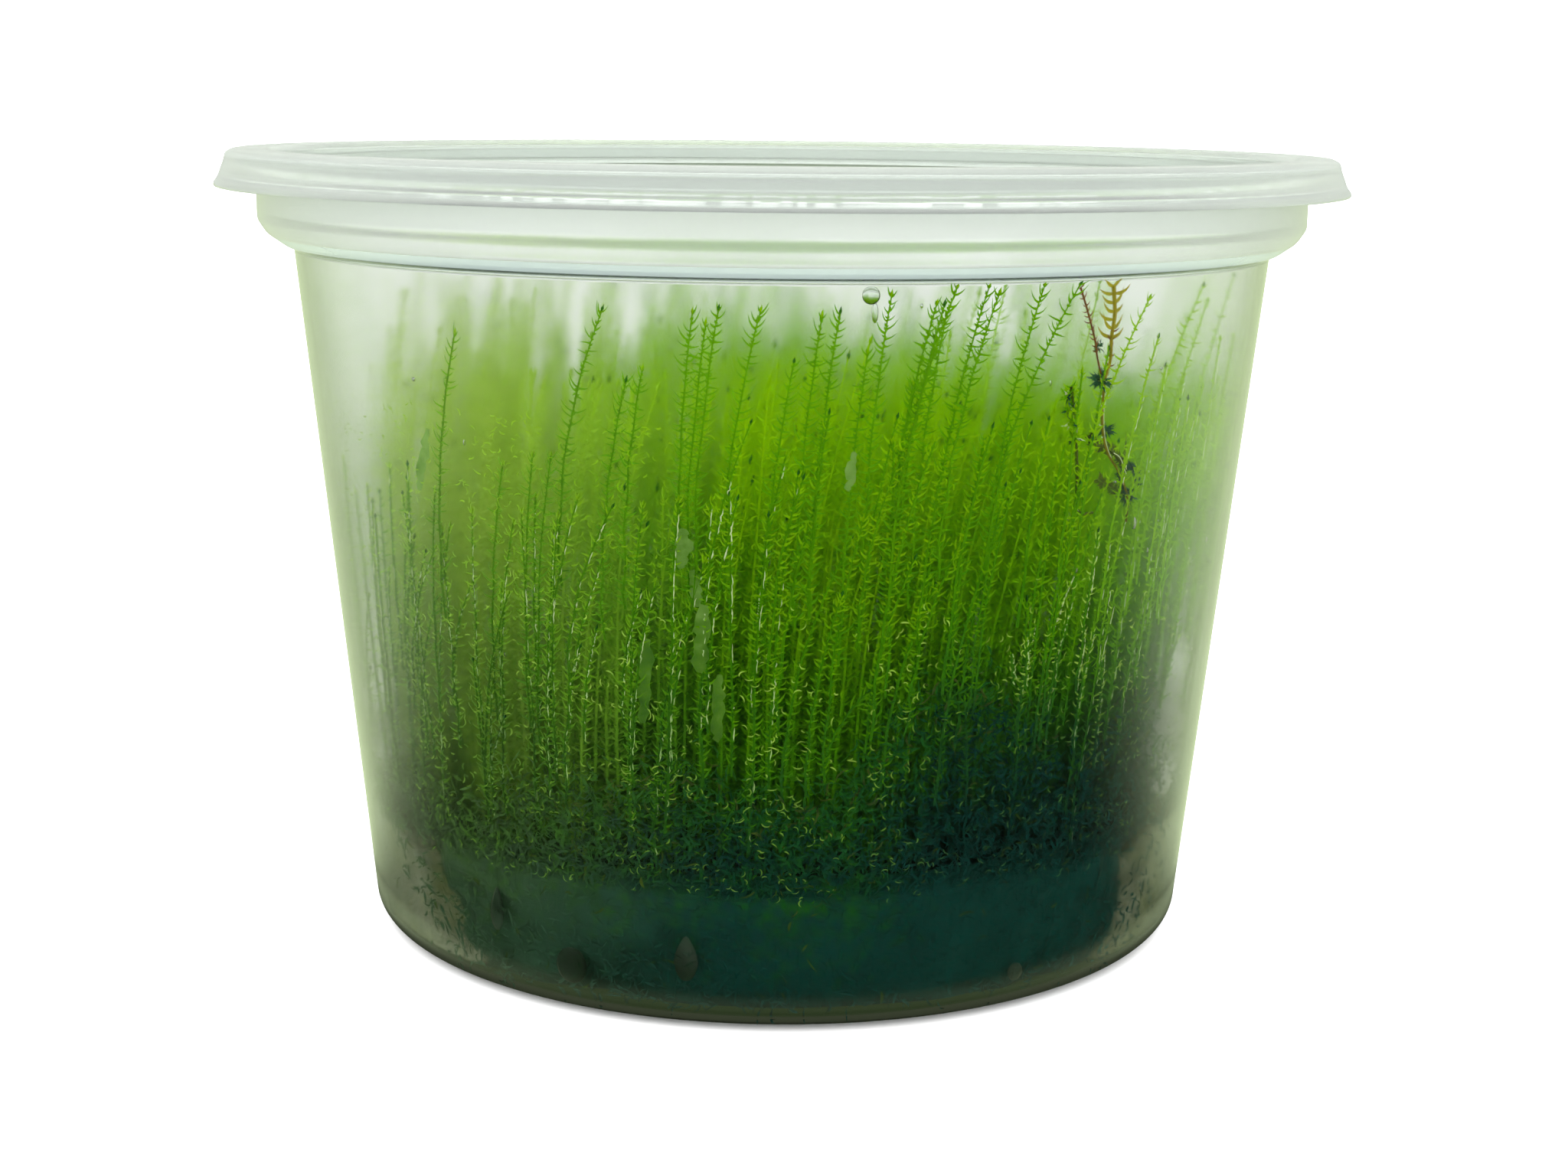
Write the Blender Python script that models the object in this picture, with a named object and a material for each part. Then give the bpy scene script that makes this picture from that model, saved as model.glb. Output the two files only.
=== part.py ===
"""Feather moss in a clear snap-lid tissue culture cup.

Units are metres, +Z is up, and the origin is the middle of the cup's underside. The cup and its lid are
turned shapes. The moss stands on a tangled mat set in nutrient gel, as tufts of upright pointed shoots.
"""
import math
import random

import bmesh
import bpy
from mathutils import Vector, noise

MM = 0.001
GAP = 0.3 * MM
TURN_STEPS = 48
SMALL_TURN_STEPS = 40

# Cup: outer sizes of the turned wall, from the foot up to the rim
WALL = 0.7 * MM
FOOT_INNER_R = 37.0 * MM
FOOT_LIFT = 0.8 * MM
BASE_R = 43.8 * MM
BASE_CORNER_R = 2.6 * MM
SHOULDER_R = 50.7 * MM
SHOULDER_Z = 70.8 * MM
BAND_R = 54.3 * MM
BAND_BOTTOM_Z = 73.7 * MM
FLANGE_R = 56.4 * MM
FLANGE_Z = 78.4 * MM
RIM_Z = 79.7 * MM
RIM_EDGE = 0.4 * MM
SHOULDER_EASE = 0.9 * MM

# Lid: a raised ring over the rim, a flared skirt outside it and a sunk panel inside it
LID_WALL = 0.6 * MM
LID_TOP_R = 57.4 * MM
LID_TOP_Z = 80.7 * MM
SKIRT_R = 58.5 * MM
SKIRT_Z = 77.0 * MM
PLUG_R = 53.2 * MM
PANEL_Z = 77.9 * MM
LID_EDGE = 0.4 * MM
SKIRT_FOOT = 1.3 * MM
BEAD_R = 56.5 * MM

# Gel: a shallow dish of set gel that holds the foot of the moss
GEL_TOP_Z = 8.0 * MM
GEL_RECESS_R = 38.5 * MM
GEL_RECESS_FLOOR_R = 36.0 * MM
GEL_RECESS_FLOOR_Z = 2.5 * MM
MENISCUS = 0.3 * MM

# Mat: the old tangled growth between the gel and the shoots
MAT_TOP_Z = 14.0 * MM
MAT_EDGE_INSET = 2.2 * MM
MAT_EDGE_ROUND = 1.2 * MM
MAT_LUMP = 1.8 * MM
MAT_LUMPS_PER_METRE = 140.0

# Shoots: tip heights over the floor of the cup, and how slender a shoot is
TIP_LOW_Z = 59.0 * MM
TIP_HIGH_Z = 66.5 * MM
FRONT_DIP = 8.0 * MM
TIP_SCATTER = 3.0 * MM
SHOOT_FREE_LENGTH = 15.0 * MM
SHOOT_NECK_SHARE = 0.35
SHOOT_R = 1.1 * MM
SHOOT_LEAN = 0.9 * MM
VALLEY_SCATTER = 1.0 * MM
TUFT_WALL_CLEARANCE = 2.0 * MM
TUFT_GAP = 0.6 * MM
FLUTE_DEPTH = 0.8 * MM

# Tufts: radii at the foot, how many stand in each ring, and the shoots across and along each
CENTRE_R = 14.5 * MM
INNER_RING_R = 28.0 * MM
CENTRE_SHOOTS = 5
SHOOTS_ACROSS = 3
SHOOTS_ALONG = 5
INNER_TUFTS = ("right", "back_right", "back_left", "left", "front_left", "front_right")
OUTER_TUFTS = ("right", "back_far_right", "back_right", "back_left", "back_far_left",
               "left", "front_far_left", "front_left", "front_right", "front_far_right")

# Loose stems that lie between the moss and the wall: angle round the cup in degrees and height
STEM_R = 0.4 * MM
STEM_WALL_OFFSET = 0.85 * MM
OLD_STEM = ((-52.5, 70.0), (-51.9, 67.4), (-52.0, 65.3), (-51.8, 63.2), (-52.3, 61.0), (-51.9, 57.1),
            (-50.6, 54.5), (-48.4, 52.5), (-46.4, 50.0), (-46.0, 47.5))
OLD_STEM_BRANCH = ((-57.1, 70.0), (-55.7, 67.6), (-54.4, 65.2), (-53.8, 63.6))
HOOKED_STEM = ((-57.1, 61.0), (-56.4, 58.8), (-55.6, 56.0), (-54.8, 52.0), (-54.5, 49.9), (-53.8, 49.0),
               (-51.9, 48.9))


def clear_scene():
    for obj in list(bpy.data.objects):
        bpy.data.objects.remove(obj, do_unlink=True)


def make_material(name, colour, roughness, transmission=0.0, alpha=1.0):
    """A Principled material. The colour is linear red, green and blue."""
    material = bpy.data.materials.new(name)
    material.use_nodes = True
    shader = material.node_tree.nodes["Principled BSDF"]
    shader.inputs["Base Color"].default_value = (*colour, 1.0)
    shader.inputs["Roughness"].default_value = roughness
    shader.inputs["Metallic"].default_value = 0.0
    shader.inputs["Transmission Weight"].default_value = transmission
    shader.inputs["Alpha"].default_value = alpha
    material.diffuse_color = (*colour, alpha)
    return material


def add_object(name, mesh, material):
    obj = bpy.data.objects.new(name, mesh)
    mesh.materials.append(material)
    bpy.context.scene.collection.objects.link(obj)
    return obj


def arc(centre_r, centre_z, radius, start_deg, end_deg, steps):
    """Points of an arc in the turning plane, as (radius, height)."""
    points = []
    for i in range(steps + 1):
        angle = math.radians(start_deg + (end_deg - start_deg) * i / steps)
        points.append((centre_r + radius * math.cos(angle), centre_z + radius * math.sin(angle)))
    return points


def turned(name, profile, material, steps=TURN_STEPS):
    """Turns a profile round Z. It runs from the axis over the top, down the outer side and back."""
    mesh = bpy.data.meshes.new(name)
    points = [(radius, 0.0, height) for radius, height in profile]
    edges = [(i, i + 1) for i in range(len(points) - 1)]
    mesh.from_pydata(points, edges, [])
    obj = add_object(name, mesh, material)
    screw = obj.modifiers.new("turn", "SCREW")
    screw.angle = math.tau
    screw.steps = steps
    screw.render_steps = steps
    screw.use_merge_vertices = True
    screw.merge_threshold = 0.00001
    screw.use_smooth_shade = True
    return obj


def outer_wall_radius(height):
    """Outer radius of the cup's tapered wall."""
    share = (height - BASE_CORNER_R) / (SHOULDER_Z - BASE_CORNER_R)
    return BASE_R + (SHOULDER_R - BASE_R) * share


def inner_wall_radius(height):
    return outer_wall_radius(height) - WALL


def cup_profile():
    """The inside from the floor up, over the rim, then the outside down to the foot."""
    corner_inner_r = BASE_CORNER_R - WALL
    corner_centre_r = BASE_R - BASE_CORNER_R
    floor_z = FOOT_LIFT + WALL
    inside = [(0.0, floor_z), (FOOT_INNER_R - WALL, floor_z)]
    inside += [(FOOT_INNER_R + WALL, WALL)]
    inside += arc(corner_centre_r, BASE_CORNER_R, corner_inner_r, -90, 0, 3)
    inside += [(SHOULDER_R - WALL, SHOULDER_Z + WALL)]
    inside += [(SHOULDER_R + SHOULDER_EASE, SHOULDER_Z + WALL + SHOULDER_EASE / 3)]
    inside += [(BAND_R - WALL - SHOULDER_EASE, BAND_BOTTOM_Z + WALL - SHOULDER_EASE * 1.5)]
    inside += [(BAND_R - WALL, BAND_BOTTOM_Z + WALL)]
    rim = [(BAND_R - WALL, RIM_Z - RIM_EDGE), (BAND_R - WALL + RIM_EDGE, RIM_Z)]
    rim += [(FLANGE_R - RIM_EDGE, RIM_Z), (FLANGE_R, RIM_Z - RIM_EDGE), (FLANGE_R, FLANGE_Z)]
    outside = [(BAND_R, FLANGE_Z), (BAND_R, BAND_BOTTOM_Z)]
    outside += [(BAND_R - SHOULDER_EASE, BAND_BOTTOM_Z - SHOULDER_EASE * 1.5)]
    outside += [(SHOULDER_R + SHOULDER_EASE, SHOULDER_Z + SHOULDER_EASE / 3), (SHOULDER_R, SHOULDER_Z)]
    outside += arc(corner_centre_r, BASE_CORNER_R, BASE_CORNER_R, 0, -90, 4)
    foot = [(FOOT_INNER_R + WALL, 0.0), (FOOT_INNER_R, FOOT_LIFT), (0.0, FOOT_LIFT)]
    return inside + rim + outside + foot


def lid_profile():
    """The sunk panel, the raised ring, the flared skirt with its snap bead, then the underside."""
    recess_r = PLUG_R - LID_WALL
    top = [(0.0, PANEL_Z), (recess_r - LID_EDGE, PANEL_Z), (recess_r, PANEL_Z + LID_EDGE)]
    top += [(recess_r, LID_TOP_Z - LID_EDGE), (recess_r + LID_EDGE, LID_TOP_Z)]
    skirt = [(LID_TOP_R - 2 * LID_EDGE, LID_TOP_Z), (LID_TOP_R - LID_EDGE / 4, LID_TOP_Z - LID_EDGE)]
    skirt += [(LID_TOP_R, LID_TOP_Z - 2.5 * LID_EDGE), (SKIRT_R - LID_EDGE, SKIRT_Z + 2.2 * LID_EDGE)]
    skirt += [(SKIRT_R, SKIRT_Z + LID_EDGE), (SKIRT_R, SKIRT_Z)]
    bead = [(SKIRT_R - SKIRT_FOOT, SKIRT_Z), (BEAD_R, SKIRT_Z + LID_EDGE * 1.5)]
    bead += [(BEAD_R + LID_EDGE, SKIRT_Z + LID_EDGE * 3)]
    under_z = LID_TOP_Z - LID_WALL
    panel_under_z = PANEL_Z - LID_WALL
    under = [(BEAD_R + LID_EDGE, under_z), (PLUG_R, under_z), (PLUG_R, panel_under_z + LID_EDGE)]
    under += [(PLUG_R - LID_EDGE, panel_under_z), (0.0, panel_under_z)]
    return top + skirt + bead + under


def gel_profile():
    """A dish of gel that follows the inside of the cup, with a recess for the mat."""
    floor_z = FOOT_LIFT + WALL + GAP
    corner_r = BASE_R - BASE_CORNER_R
    top = [(0.0, GEL_RECESS_FLOOR_Z), (GEL_RECESS_FLOOR_R, GEL_RECESS_FLOOR_Z)]
    top += [(GEL_RECESS_R, GEL_TOP_Z), (inner_wall_radius(GEL_TOP_Z) - GAP, GEL_TOP_Z + MENISCUS)]
    side = [(inner_wall_radius(BASE_CORNER_R) - GAP, BASE_CORNER_R)]
    side += [(corner_r, floor_z), (0.0, floor_z)]
    return top + side


def mat_profile():
    """The mat sits in the gel's recess and spreads over the gel's rim."""
    edge_r = inner_wall_radius(MAT_TOP_Z) - MAT_EDGE_INSET
    lift = 2.0 * GAP
    top = [(0.0, MAT_TOP_Z), (edge_r / 2, MAT_TOP_Z), (edge_r - MAT_EDGE_ROUND / 2, MAT_TOP_Z)]
    side = [(edge_r, MAT_TOP_Z - MAT_EDGE_ROUND), (edge_r - MAT_EDGE_ROUND, GEL_TOP_Z + 2 * MAT_EDGE_ROUND)]
    side += [(GEL_RECESS_R + MAT_EDGE_ROUND, GEL_TOP_Z + MAT_EDGE_ROUND)]
    side += [(GEL_RECESS_R - lift, GEL_TOP_Z + lift)]
    side += [(GEL_RECESS_FLOOR_R - lift, GEL_RECESS_FLOOR_Z + lift), (0.0, GEL_RECESS_FLOOR_Z + lift)]
    return top + side


def roughen_mat(obj):
    """Presses lumps and hollows into the mat's side. Its flat top and its foot keep their height."""
    evaluated = obj.evaluated_get(bpy.context.evaluated_depsgraph_get())
    mesh = bpy.data.meshes.new_from_object(evaluated)
    for vertex in mesh.vertices:
        point = vertex.co
        radius = math.hypot(point.x, point.y)
        if radius < GEL_RECESS_FLOOR_R:
            continue
        lump = MAT_LUMP * abs(noise.noise(point * MAT_LUMPS_PER_METRE))
        vertex.co = Vector((point.x * (1 - lump / radius), point.y * (1 - lump / radius), point.z))
    obj.modifiers.clear()
    obj.data = mesh
    return obj


def smooth_step(value):
    value = min(max(value, 0.0), 1.0)
    return value * value * (3.0 - 2.0 * value)


def canopy_height(x, y):
    """How high the shoots reach over a spot: higher to the right (+X), lower at the front left (-Y, -X)."""
    rightward = smooth_step((x / SHOULDER_R + 0.7) / 1.4)
    height = TIP_LOW_Z + (TIP_HIGH_Z - TIP_LOW_Z) * rightward
    frontness = smooth_step((-y / SHOULDER_R - 0.35) / 0.4)
    leftness = smooth_step((-x / SHOULDER_R + 0.25) / 0.5)
    return height - FRONT_DIP * frontness * leftness


def spread(x, y, height):
    """Moves a foot position outward with height, as the shoots follow the cup's widening wall."""
    foot_r = inner_wall_radius(MAT_TOP_Z)
    factor = inner_wall_radius(min(height, SHOULDER_Z)) / foot_r
    return x * factor, y * factor


def add_cell(bm, corners, tip_z, rng):
    """One shoot: a four-sided foot that narrows to a slender free stretch and ends in a pointed tip."""
    middle = sum((v.co for v in corners), Vector()) / 4.0
    shift = Vector((rng.uniform(-1.0, 1.0), rng.uniform(-1.0, 1.0))) * SHOOT_LEAN / 2
    lean = Vector((rng.uniform(-0.6, 1.2), rng.uniform(-1.0, 1.0))) * SHOOT_LEAN
    neck_z = middle.z + (tip_z - middle.z) * SHOOT_NECK_SHARE
    neck = []
    for corner in corners:
        away = (corner.co - middle).to_2d().normalized() * SHOOT_R
        neck.append(bm.verts.new((*(middle.to_2d() + shift + away), neck_z)))
    tip = bm.verts.new((*(middle.to_2d() + shift + lean), tip_z))
    for i in range(4):
        j = (i + 1) % 4
        bm.faces.new((corners[i], corners[j], neck[j], neck[i]))
        bm.faces.new((neck[i], neck[j], tip))


def add_flute(bm, corners):
    """A side face pressed in along its middle, so that each outer shoot stands out as a rib."""
    middle = sum((v.co for v in corners), Vector()) / 4.0
    outward = (corners[1].co - corners[0].co).cross(corners[3].co - corners[0].co).normalized()
    hollow = bm.verts.new(middle - outward * FLUTE_DEPTH)
    for i in range(4):
        bm.faces.new((corners[i], corners[(i + 1) % 4], hollow))


def build_tuft(name, plan, material, seed):
    """plan is a grid of foot positions in rows, running anticlockwise seen from above."""
    rng = random.Random(seed)
    bm = bmesh.new()
    bottom_z = MAT_TOP_Z + GAP
    rows, columns = len(plan), len(plan[0])
    bottom = [[bm.verts.new((x, y, bottom_z)) for x, y in row] for row in plan]
    valley = []
    for row in plan:
        valley.append([])
        for x, y in row:
            height = canopy_height(x, y) - SHOOT_FREE_LENGTH + rng.uniform(-1.0, 1.0) * VALLEY_SCATTER
            valley[-1].append(bm.verts.new((*spread(x, y, height), height)))
    for i in range(rows - 1):
        for j in range(columns - 1):
            corners = (valley[i][j], valley[i + 1][j], valley[i + 1][j + 1], valley[i][j + 1])
            middle = sum((v.co for v in corners), Vector()) / 4.0
            tip_z = canopy_height(middle.x, middle.y) + rng.uniform(-1.0, 1.0) * TIP_SCATTER
            add_cell(bm, corners, tip_z, rng)
            bm.faces.new((bottom[i][j], bottom[i][j + 1], bottom[i + 1][j + 1], bottom[i + 1][j]))
    rim = [(i, 0) for i in range(rows - 1)]
    rim += [(rows - 1, j) for j in range(columns - 1)]
    rim += [(i, columns - 1) for i in range(rows - 1, 0, -1)]
    rim += [(0, j) for j in range(columns - 1, 0, -1)]
    for k, (i, j) in enumerate(rim):
        a, b = rim[(k + 1) % len(rim)]
        add_flute(bm, (bottom[i][j], bottom[a][b], valley[a][b], valley[i][j]))
    bmesh.ops.recalc_face_normals(bm, faces=bm.faces)
    bmesh.ops.triangulate(bm, faces=bm.faces)
    mesh = bpy.data.meshes.new(name)
    bm.to_mesh(mesh)
    bm.free()
    return add_object(name, mesh, material)


def wander(radius, angle):
    """Bends the foot plan, so that the borders between tufts wander. The side along the wall stays round."""
    inside = 1.0 - (radius / inner_wall_radius(MAT_TOP_Z)) ** 2
    radius *= 1.0 + 0.16 * inside * math.sin(3.0 * angle + 0.8)
    angle += 0.13 * math.sin(2.0 * angle + radius / (6.0 * MM))
    return radius * math.cos(angle), radius * math.sin(angle)


def ring_plan(inner_r, outer_r, start, end):
    """Foot grid of one tuft in a ring, between two angles, with half a gap left on every side."""
    plan = []
    for i in range(SHOOTS_ACROSS + 1):
        radius = inner_r + TUFT_GAP / 2 + (outer_r - inner_r - TUFT_GAP) * i / SHOOTS_ACROSS
        trim = TUFT_GAP / 2 / radius
        row = []
        for j in range(SHOOTS_ALONG + 1):
            angle = start + trim + (end - start - 2 * trim) * j / SHOOTS_ALONG
            row.append(wander(radius, angle))
        plan.append(row)
    return plan


def centre_plan(radius, cells):
    """A square grid bent to a disc."""
    plan = []
    for i in range(cells + 1):
        row = []
        for j in range(cells + 1):
            u = 2.0 * i / cells - 1.0
            v = 2.0 * j / cells - 1.0
            x = u * math.sqrt(1.0 - v * v / 2.0)
            y = v * math.sqrt(1.0 - u * u / 2.0)
            row.append(wander(radius * math.hypot(x, y), math.atan2(y, x)))
        plan.append(row)
    return plan


def build_tufts(material):
    """One tuft in the middle, a ring of tufts round it and another ring along the wall."""
    build_tuft("tuft_centre", centre_plan(CENTRE_R - TUFT_GAP / 2, CENTRE_SHOOTS), material, "centre")
    outer_ring_r = inner_wall_radius(MAT_TOP_Z) - TUFT_WALL_CLEARANCE
    rings = (
        ("inner", CENTRE_R, INNER_RING_R, INNER_TUFTS),
        ("outer", INNER_RING_R, outer_ring_r, OUTER_TUFTS),
    )
    for ring, inner_r, outer_r, places in rings:
        sector = math.tau / len(places)
        for k, place in enumerate(places):
            plan = ring_plan(inner_r, outer_r, sector * (k - 0.5), sector * (k + 0.5))
            build_tuft(f"tuft_{ring}_{place}", plan, material, place)


def build_stem(name, route, material):
    """A thin round stem along the inside of the wall. route is (degrees round the cup, height in mm)."""
    curve = bpy.data.curves.new(name, "CURVE")
    curve.dimensions = "3D"
    curve.bevel_depth = STEM_R
    curve.bevel_resolution = 1
    curve.use_fill_caps = True
    spline = curve.splines.new("POLY")
    spline.points.add(len(route) - 1)
    for point, (angle_deg, height_mm) in zip(spline.points, route):
        height = height_mm * MM
        radius = inner_wall_radius(height) - STEM_WALL_OFFSET
        angle = math.radians(angle_deg)
        point.co = (radius * math.cos(angle), radius * math.sin(angle), height, 1.0)
    obj = bpy.data.objects.new(name, curve)
    curve.materials.append(material)
    bpy.context.scene.collection.objects.link(obj)
    return obj


def main():
    clear_scene()
    clear_plastic = make_material("clear_plastic", (0.83, 0.87, 0.84), 0.15, transmission=0.9, alpha=0.35)
    gel = make_material("gel", (0.66, 0.62, 0.42), 0.1, transmission=0.8, alpha=0.6)
    dark_moss = make_material("dark_moss", (0.01, 0.05, 0.03), 0.8)
    green_moss = make_material("green_moss", (0.10, 0.32, 0.03), 0.6)
    yellow_stem = make_material("yellow_stem", (0.30, 0.24, 0.04), 0.6)
    turned("cup", cup_profile(), clear_plastic)
    turned("lid", lid_profile(), clear_plastic)
    turned("nutrient_gel", gel_profile(), gel, SMALL_TURN_STEPS)
    roughen_mat(turned("moss_mat", mat_profile(), dark_moss, SMALL_TURN_STEPS))
    build_tufts(green_moss)
    build_stem("old_stem", OLD_STEM, yellow_stem)
    build_stem("old_stem_branch", OLD_STEM_BRANCH, yellow_stem)
    build_stem("hooked_stem", HOOKED_STEM, green_moss)


main()
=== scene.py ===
"""Feather moss in a clear snap-lid culture cup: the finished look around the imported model.

Units are metres. +Z is up, the cup stands on its foot at the origin, and the photograph's viewer is at -Y.
Angles round the cup are in degrees from +X, anticlockwise seen from above, so the viewer's side is -90.
"""
import math

import bmesh
import bpy
import numpy as np
from mathutils import Matrix, Vector, noise


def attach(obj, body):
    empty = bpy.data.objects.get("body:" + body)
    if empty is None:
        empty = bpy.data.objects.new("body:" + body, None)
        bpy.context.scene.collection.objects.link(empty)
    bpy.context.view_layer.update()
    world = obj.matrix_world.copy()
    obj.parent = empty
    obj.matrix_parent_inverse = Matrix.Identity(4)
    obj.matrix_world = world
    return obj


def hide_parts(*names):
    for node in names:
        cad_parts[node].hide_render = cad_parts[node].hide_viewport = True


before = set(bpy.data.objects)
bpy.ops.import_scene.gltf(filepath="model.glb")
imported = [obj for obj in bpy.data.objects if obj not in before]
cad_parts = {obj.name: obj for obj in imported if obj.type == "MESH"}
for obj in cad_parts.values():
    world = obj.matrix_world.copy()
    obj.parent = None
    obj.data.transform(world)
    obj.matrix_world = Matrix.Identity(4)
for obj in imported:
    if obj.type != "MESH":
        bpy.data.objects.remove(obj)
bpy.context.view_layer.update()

MM = 0.001
GOLDEN_ANGLE = 2.39996

# Photograph: 2048 x 1536 pixels, with the focal length and place solved from the cup's edges
PHOTO_WIDTH_PX = 2048
FOCAL_PX = 3194.4
SENSOR_MM = 36.0
CAMERA_PLACE = Vector((0.0006, -0.2610, 0.0868))
CAMERA_PITCH_DEG = 11.47
CAMERA_ROLL_DEG = 0.61

# Cup and lid, as in the construction
WALL = 0.7 * MM
BASE_R = 43.8 * MM
BASE_CORNER_R = 2.6 * MM
SHOULDER_R = 50.7 * MM
SHOULDER_Z = 70.8 * MM
BAND_R = 54.3 * MM
BAND_BOTTOM_Z = 73.7 * MM
SHOULDER_EASE = 0.9 * MM
FLANGE_R = 56.4 * MM
FLANGE_Z = 78.4 * MM
RIM_Z = 79.7 * MM
RIM_EDGE = 0.4 * MM
FOOT_INNER_R = 37.0 * MM
FOOT_LIFT = 0.8 * MM
LID_WALL = 0.6 * MM
LID_TOP_R = 57.4 * MM
LID_TOP_Z = 80.7 * MM
SKIRT_R = 58.5 * MM
SKIRT_Z = 77.0 * MM
PLUG_R = 53.2 * MM
PANEL_Z = 77.9 * MM
LID_EDGE = 0.4 * MM
SKIRT_FOOT = 1.3 * MM
BEAD_R = 56.5 * MM
TURN_STEPS = 180

# Gel and mat
GEL_TOP_Z = 8.0 * MM
GEL_RECESS_R = 38.5 * MM
MAT_TOP_Z = 14.0 * MM
MAT_TURNS = 220
MAT_LUMP = 2.2 * MM
# Where the gel lies clear of the mat: middle in degrees, chord of the mat there, half width at the foot
MAT_CUTS = ((190.0, 37.0 * MM, 42.0), (-10.0, 38.0 * MM, 31.0))
MAT_CUT_TOP_Z = 13.0 * MM
OPEN_TOP_Z = 23.0 * MM
CORNER_RISE = 5.0 * MM
TANGLE_HUMPS = ((-69.0, 11.0, 16.0), (-38.0, 11.0, 12.0))

# Moss stand: tip heights as in the construction
TIP_LOW_Z = 59.0 * MM
TIP_HIGH_Z = 66.5 * MM
FRONT_DIP = 8.0 * MM
TALLEST_Z = 71.2 * MM
STAND_TOP_Z = 60.5 * MM
CENTRE_R = 14.5 * MM
INNER_RING_R = 28.0 * MM
WALL_GAP = 2.6 * MM
INNER_TUFTS = ("right", "back_right", "back_left", "left", "front_left", "front_right")
OUTER_TUFTS = ("right", "back_far_right", "back_right", "back_left", "back_far_left",
               "left", "front_far_left", "front_left", "front_right", "front_far_right")

# Single shoots
FOOT_SINK = 1.0 * MM
STEM_SIDES = 3
STEM_R = 0.17 * MM
WALL_STEM_R = 0.14 * MM
LEAF_LENGTH = 1.1 * MM
LEAF_WIDTH = 0.17 * MM
LEAF_PITCH = 0.62 * MM
LEAVES_PER_NODE = 2
BUD_LENGTH = 1.3 * MM
BUD_R = 0.17 * MM
WALL_TOUCH = 0.12 * MM

# Old stems along the wall, as (degrees round the cup, height in mm), as in the construction
OLD_STEM = ((-52.5, 70.0), (-51.9, 67.4), (-52.0, 65.3), (-51.8, 63.2), (-52.3, 61.0), (-51.9, 57.1),
            (-50.6, 54.5), (-48.4, 52.5), (-46.4, 50.0), (-46.0, 47.5))
OLD_STEM_BRANCH = ((-57.1, 70.0), (-55.7, 67.6), (-54.4, 65.2), (-53.8, 63.6))
HOOKED_STEM = ((-57.1, 61.0), (-56.4, 58.8), (-55.6, 56.0), (-54.8, 52.0), (-54.5, 49.9), (-53.8, 49.0),
               (-51.9, 48.9))
OLD_LEAF_ARC = ((-53.4, 56.3), (-52.6, 55.4), (-50.6, 54.9), (-48.7, 53.9), (-47.1, 52.6))
STEM_WALL_OFFSET = 0.85 * MM

# Pale damp smears on the front wall: top and foot in degrees and mm, width in mm
SMEARS = ((-104.5, 38.2, -105.4, 30.1, 1.3), (-100.1, 48.7, -100.5, 45.0, 1.6), (-98.1, 41.7, -98.6, 35.3, 1.7), (-96.4, 35.2, -96.8, 28.8, 1.4),
          (-99.2, 44.9, -98.7, 41.5, 1.1), (-132.1, 55.9, -134.9, 49.8, 1.4), (-82.2, 55.9, -82.6, 52.4, 0.9))

# Tips of the tallest shoots along the front wall: degrees round the cup, height in mm, lean in degrees
TALL_SHOOTS = ((-72.0, 70.6, 5.8), (-73.8, 69.1, 4.0), (-72.7, 67.9, 2.5), (-68.1, 70.6, 5.0), (-67.3, 70.0, 5.0),
               (-62.0, 70.6, 4.5), (-57.5, 70.6, 9.0), (-47.1, 68.9, 9.0), (-35.9, 69.5, 9.0), (-34.3, 68.0, 8.0),
               (-27.4, 70.0, 10.0), (-41.4, 55.7, 3.5), (-67.6, 57.0, 2.5), (-97.5, 67.3, 2.5), (-96.1, 68.6, 3.0),
               (-91.9, 68.5, 4.0), (-85.7, 68.1, 2.5), (-83.9, 68.4, 2.5), (-78.7, 69.9, 2.0), (-73.0, 69.0, 4.0),
               (-98.9, 68.2, 2.0), (-108.4, 68.2, 6.8), (-106.0, 62.0, 4.0), (-126.5, 65.4, 6.0), (-104.3, 63.1, 3.0),
               (-121.8, 53.5, 4.0), (-117.6, 54.6, 3.0), (-115.2, 54.8, 4.0), (-138.3, 50.7, 2.5),
               (-144.9, 48.6, 2.0), (-132.4, 49.9, 3.0), (-88.5, 64.0, 3.0), (-81.0, 65.0, 2.0), (-76.0, 62.0, 2.0))

# Wet shoots at the lower right: tip and foot, each in degrees round the cup and in mm of height
WET_SHOOTS = ((-60.5, 37.6, -60.0, 32.6), (-62.2, 36.3, -61.5, 33.0), (-53.7, 43.9, -57.6, 30.6),
              (-53.7, 40.8, -55.7, 29.8), (-49.9, 37.5, -51.4, 25.7), (-47.3, 34.9, -46.7, 22.9),
              (-41.7, 34.7, -39.3, 29.0), (-58.4, 40.0, -60.0, 31.0), (-51.2, 47.3, -52.0, 31.6))


def outer_wall_radius(height):
    share = (height - BASE_CORNER_R) / (SHOULDER_Z - BASE_CORNER_R)
    return BASE_R + (SHOULDER_R - BASE_R) * share


def inner_wall_radius(height):
    """Works on numbers and on arrays. Above the shoulder the cup is wider, so this is on the safe side."""
    return outer_wall_radius(np.minimum(height, SHOULDER_Z)) - WALL


def smooth_step(value):
    value = np.clip(value, 0.0, 1.0)
    return value * value * (3.0 - 2.0 * value)


def canopy_height(x, y):
    """How high the shoots reach over a spot: higher to the right, lower at the front left."""
    rightward = smooth_step((x / SHOULDER_R + 0.7) / 1.4)
    height = TIP_LOW_Z + (TIP_HIGH_Z - TIP_LOW_Z) * rightward
    frontness = smooth_step((-y / SHOULDER_R - 0.35) / 0.4)
    leftness = smooth_step((-x / SHOULDER_R + 0.25) / 0.5)
    return height - FRONT_DIP * frontness * leftness


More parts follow.
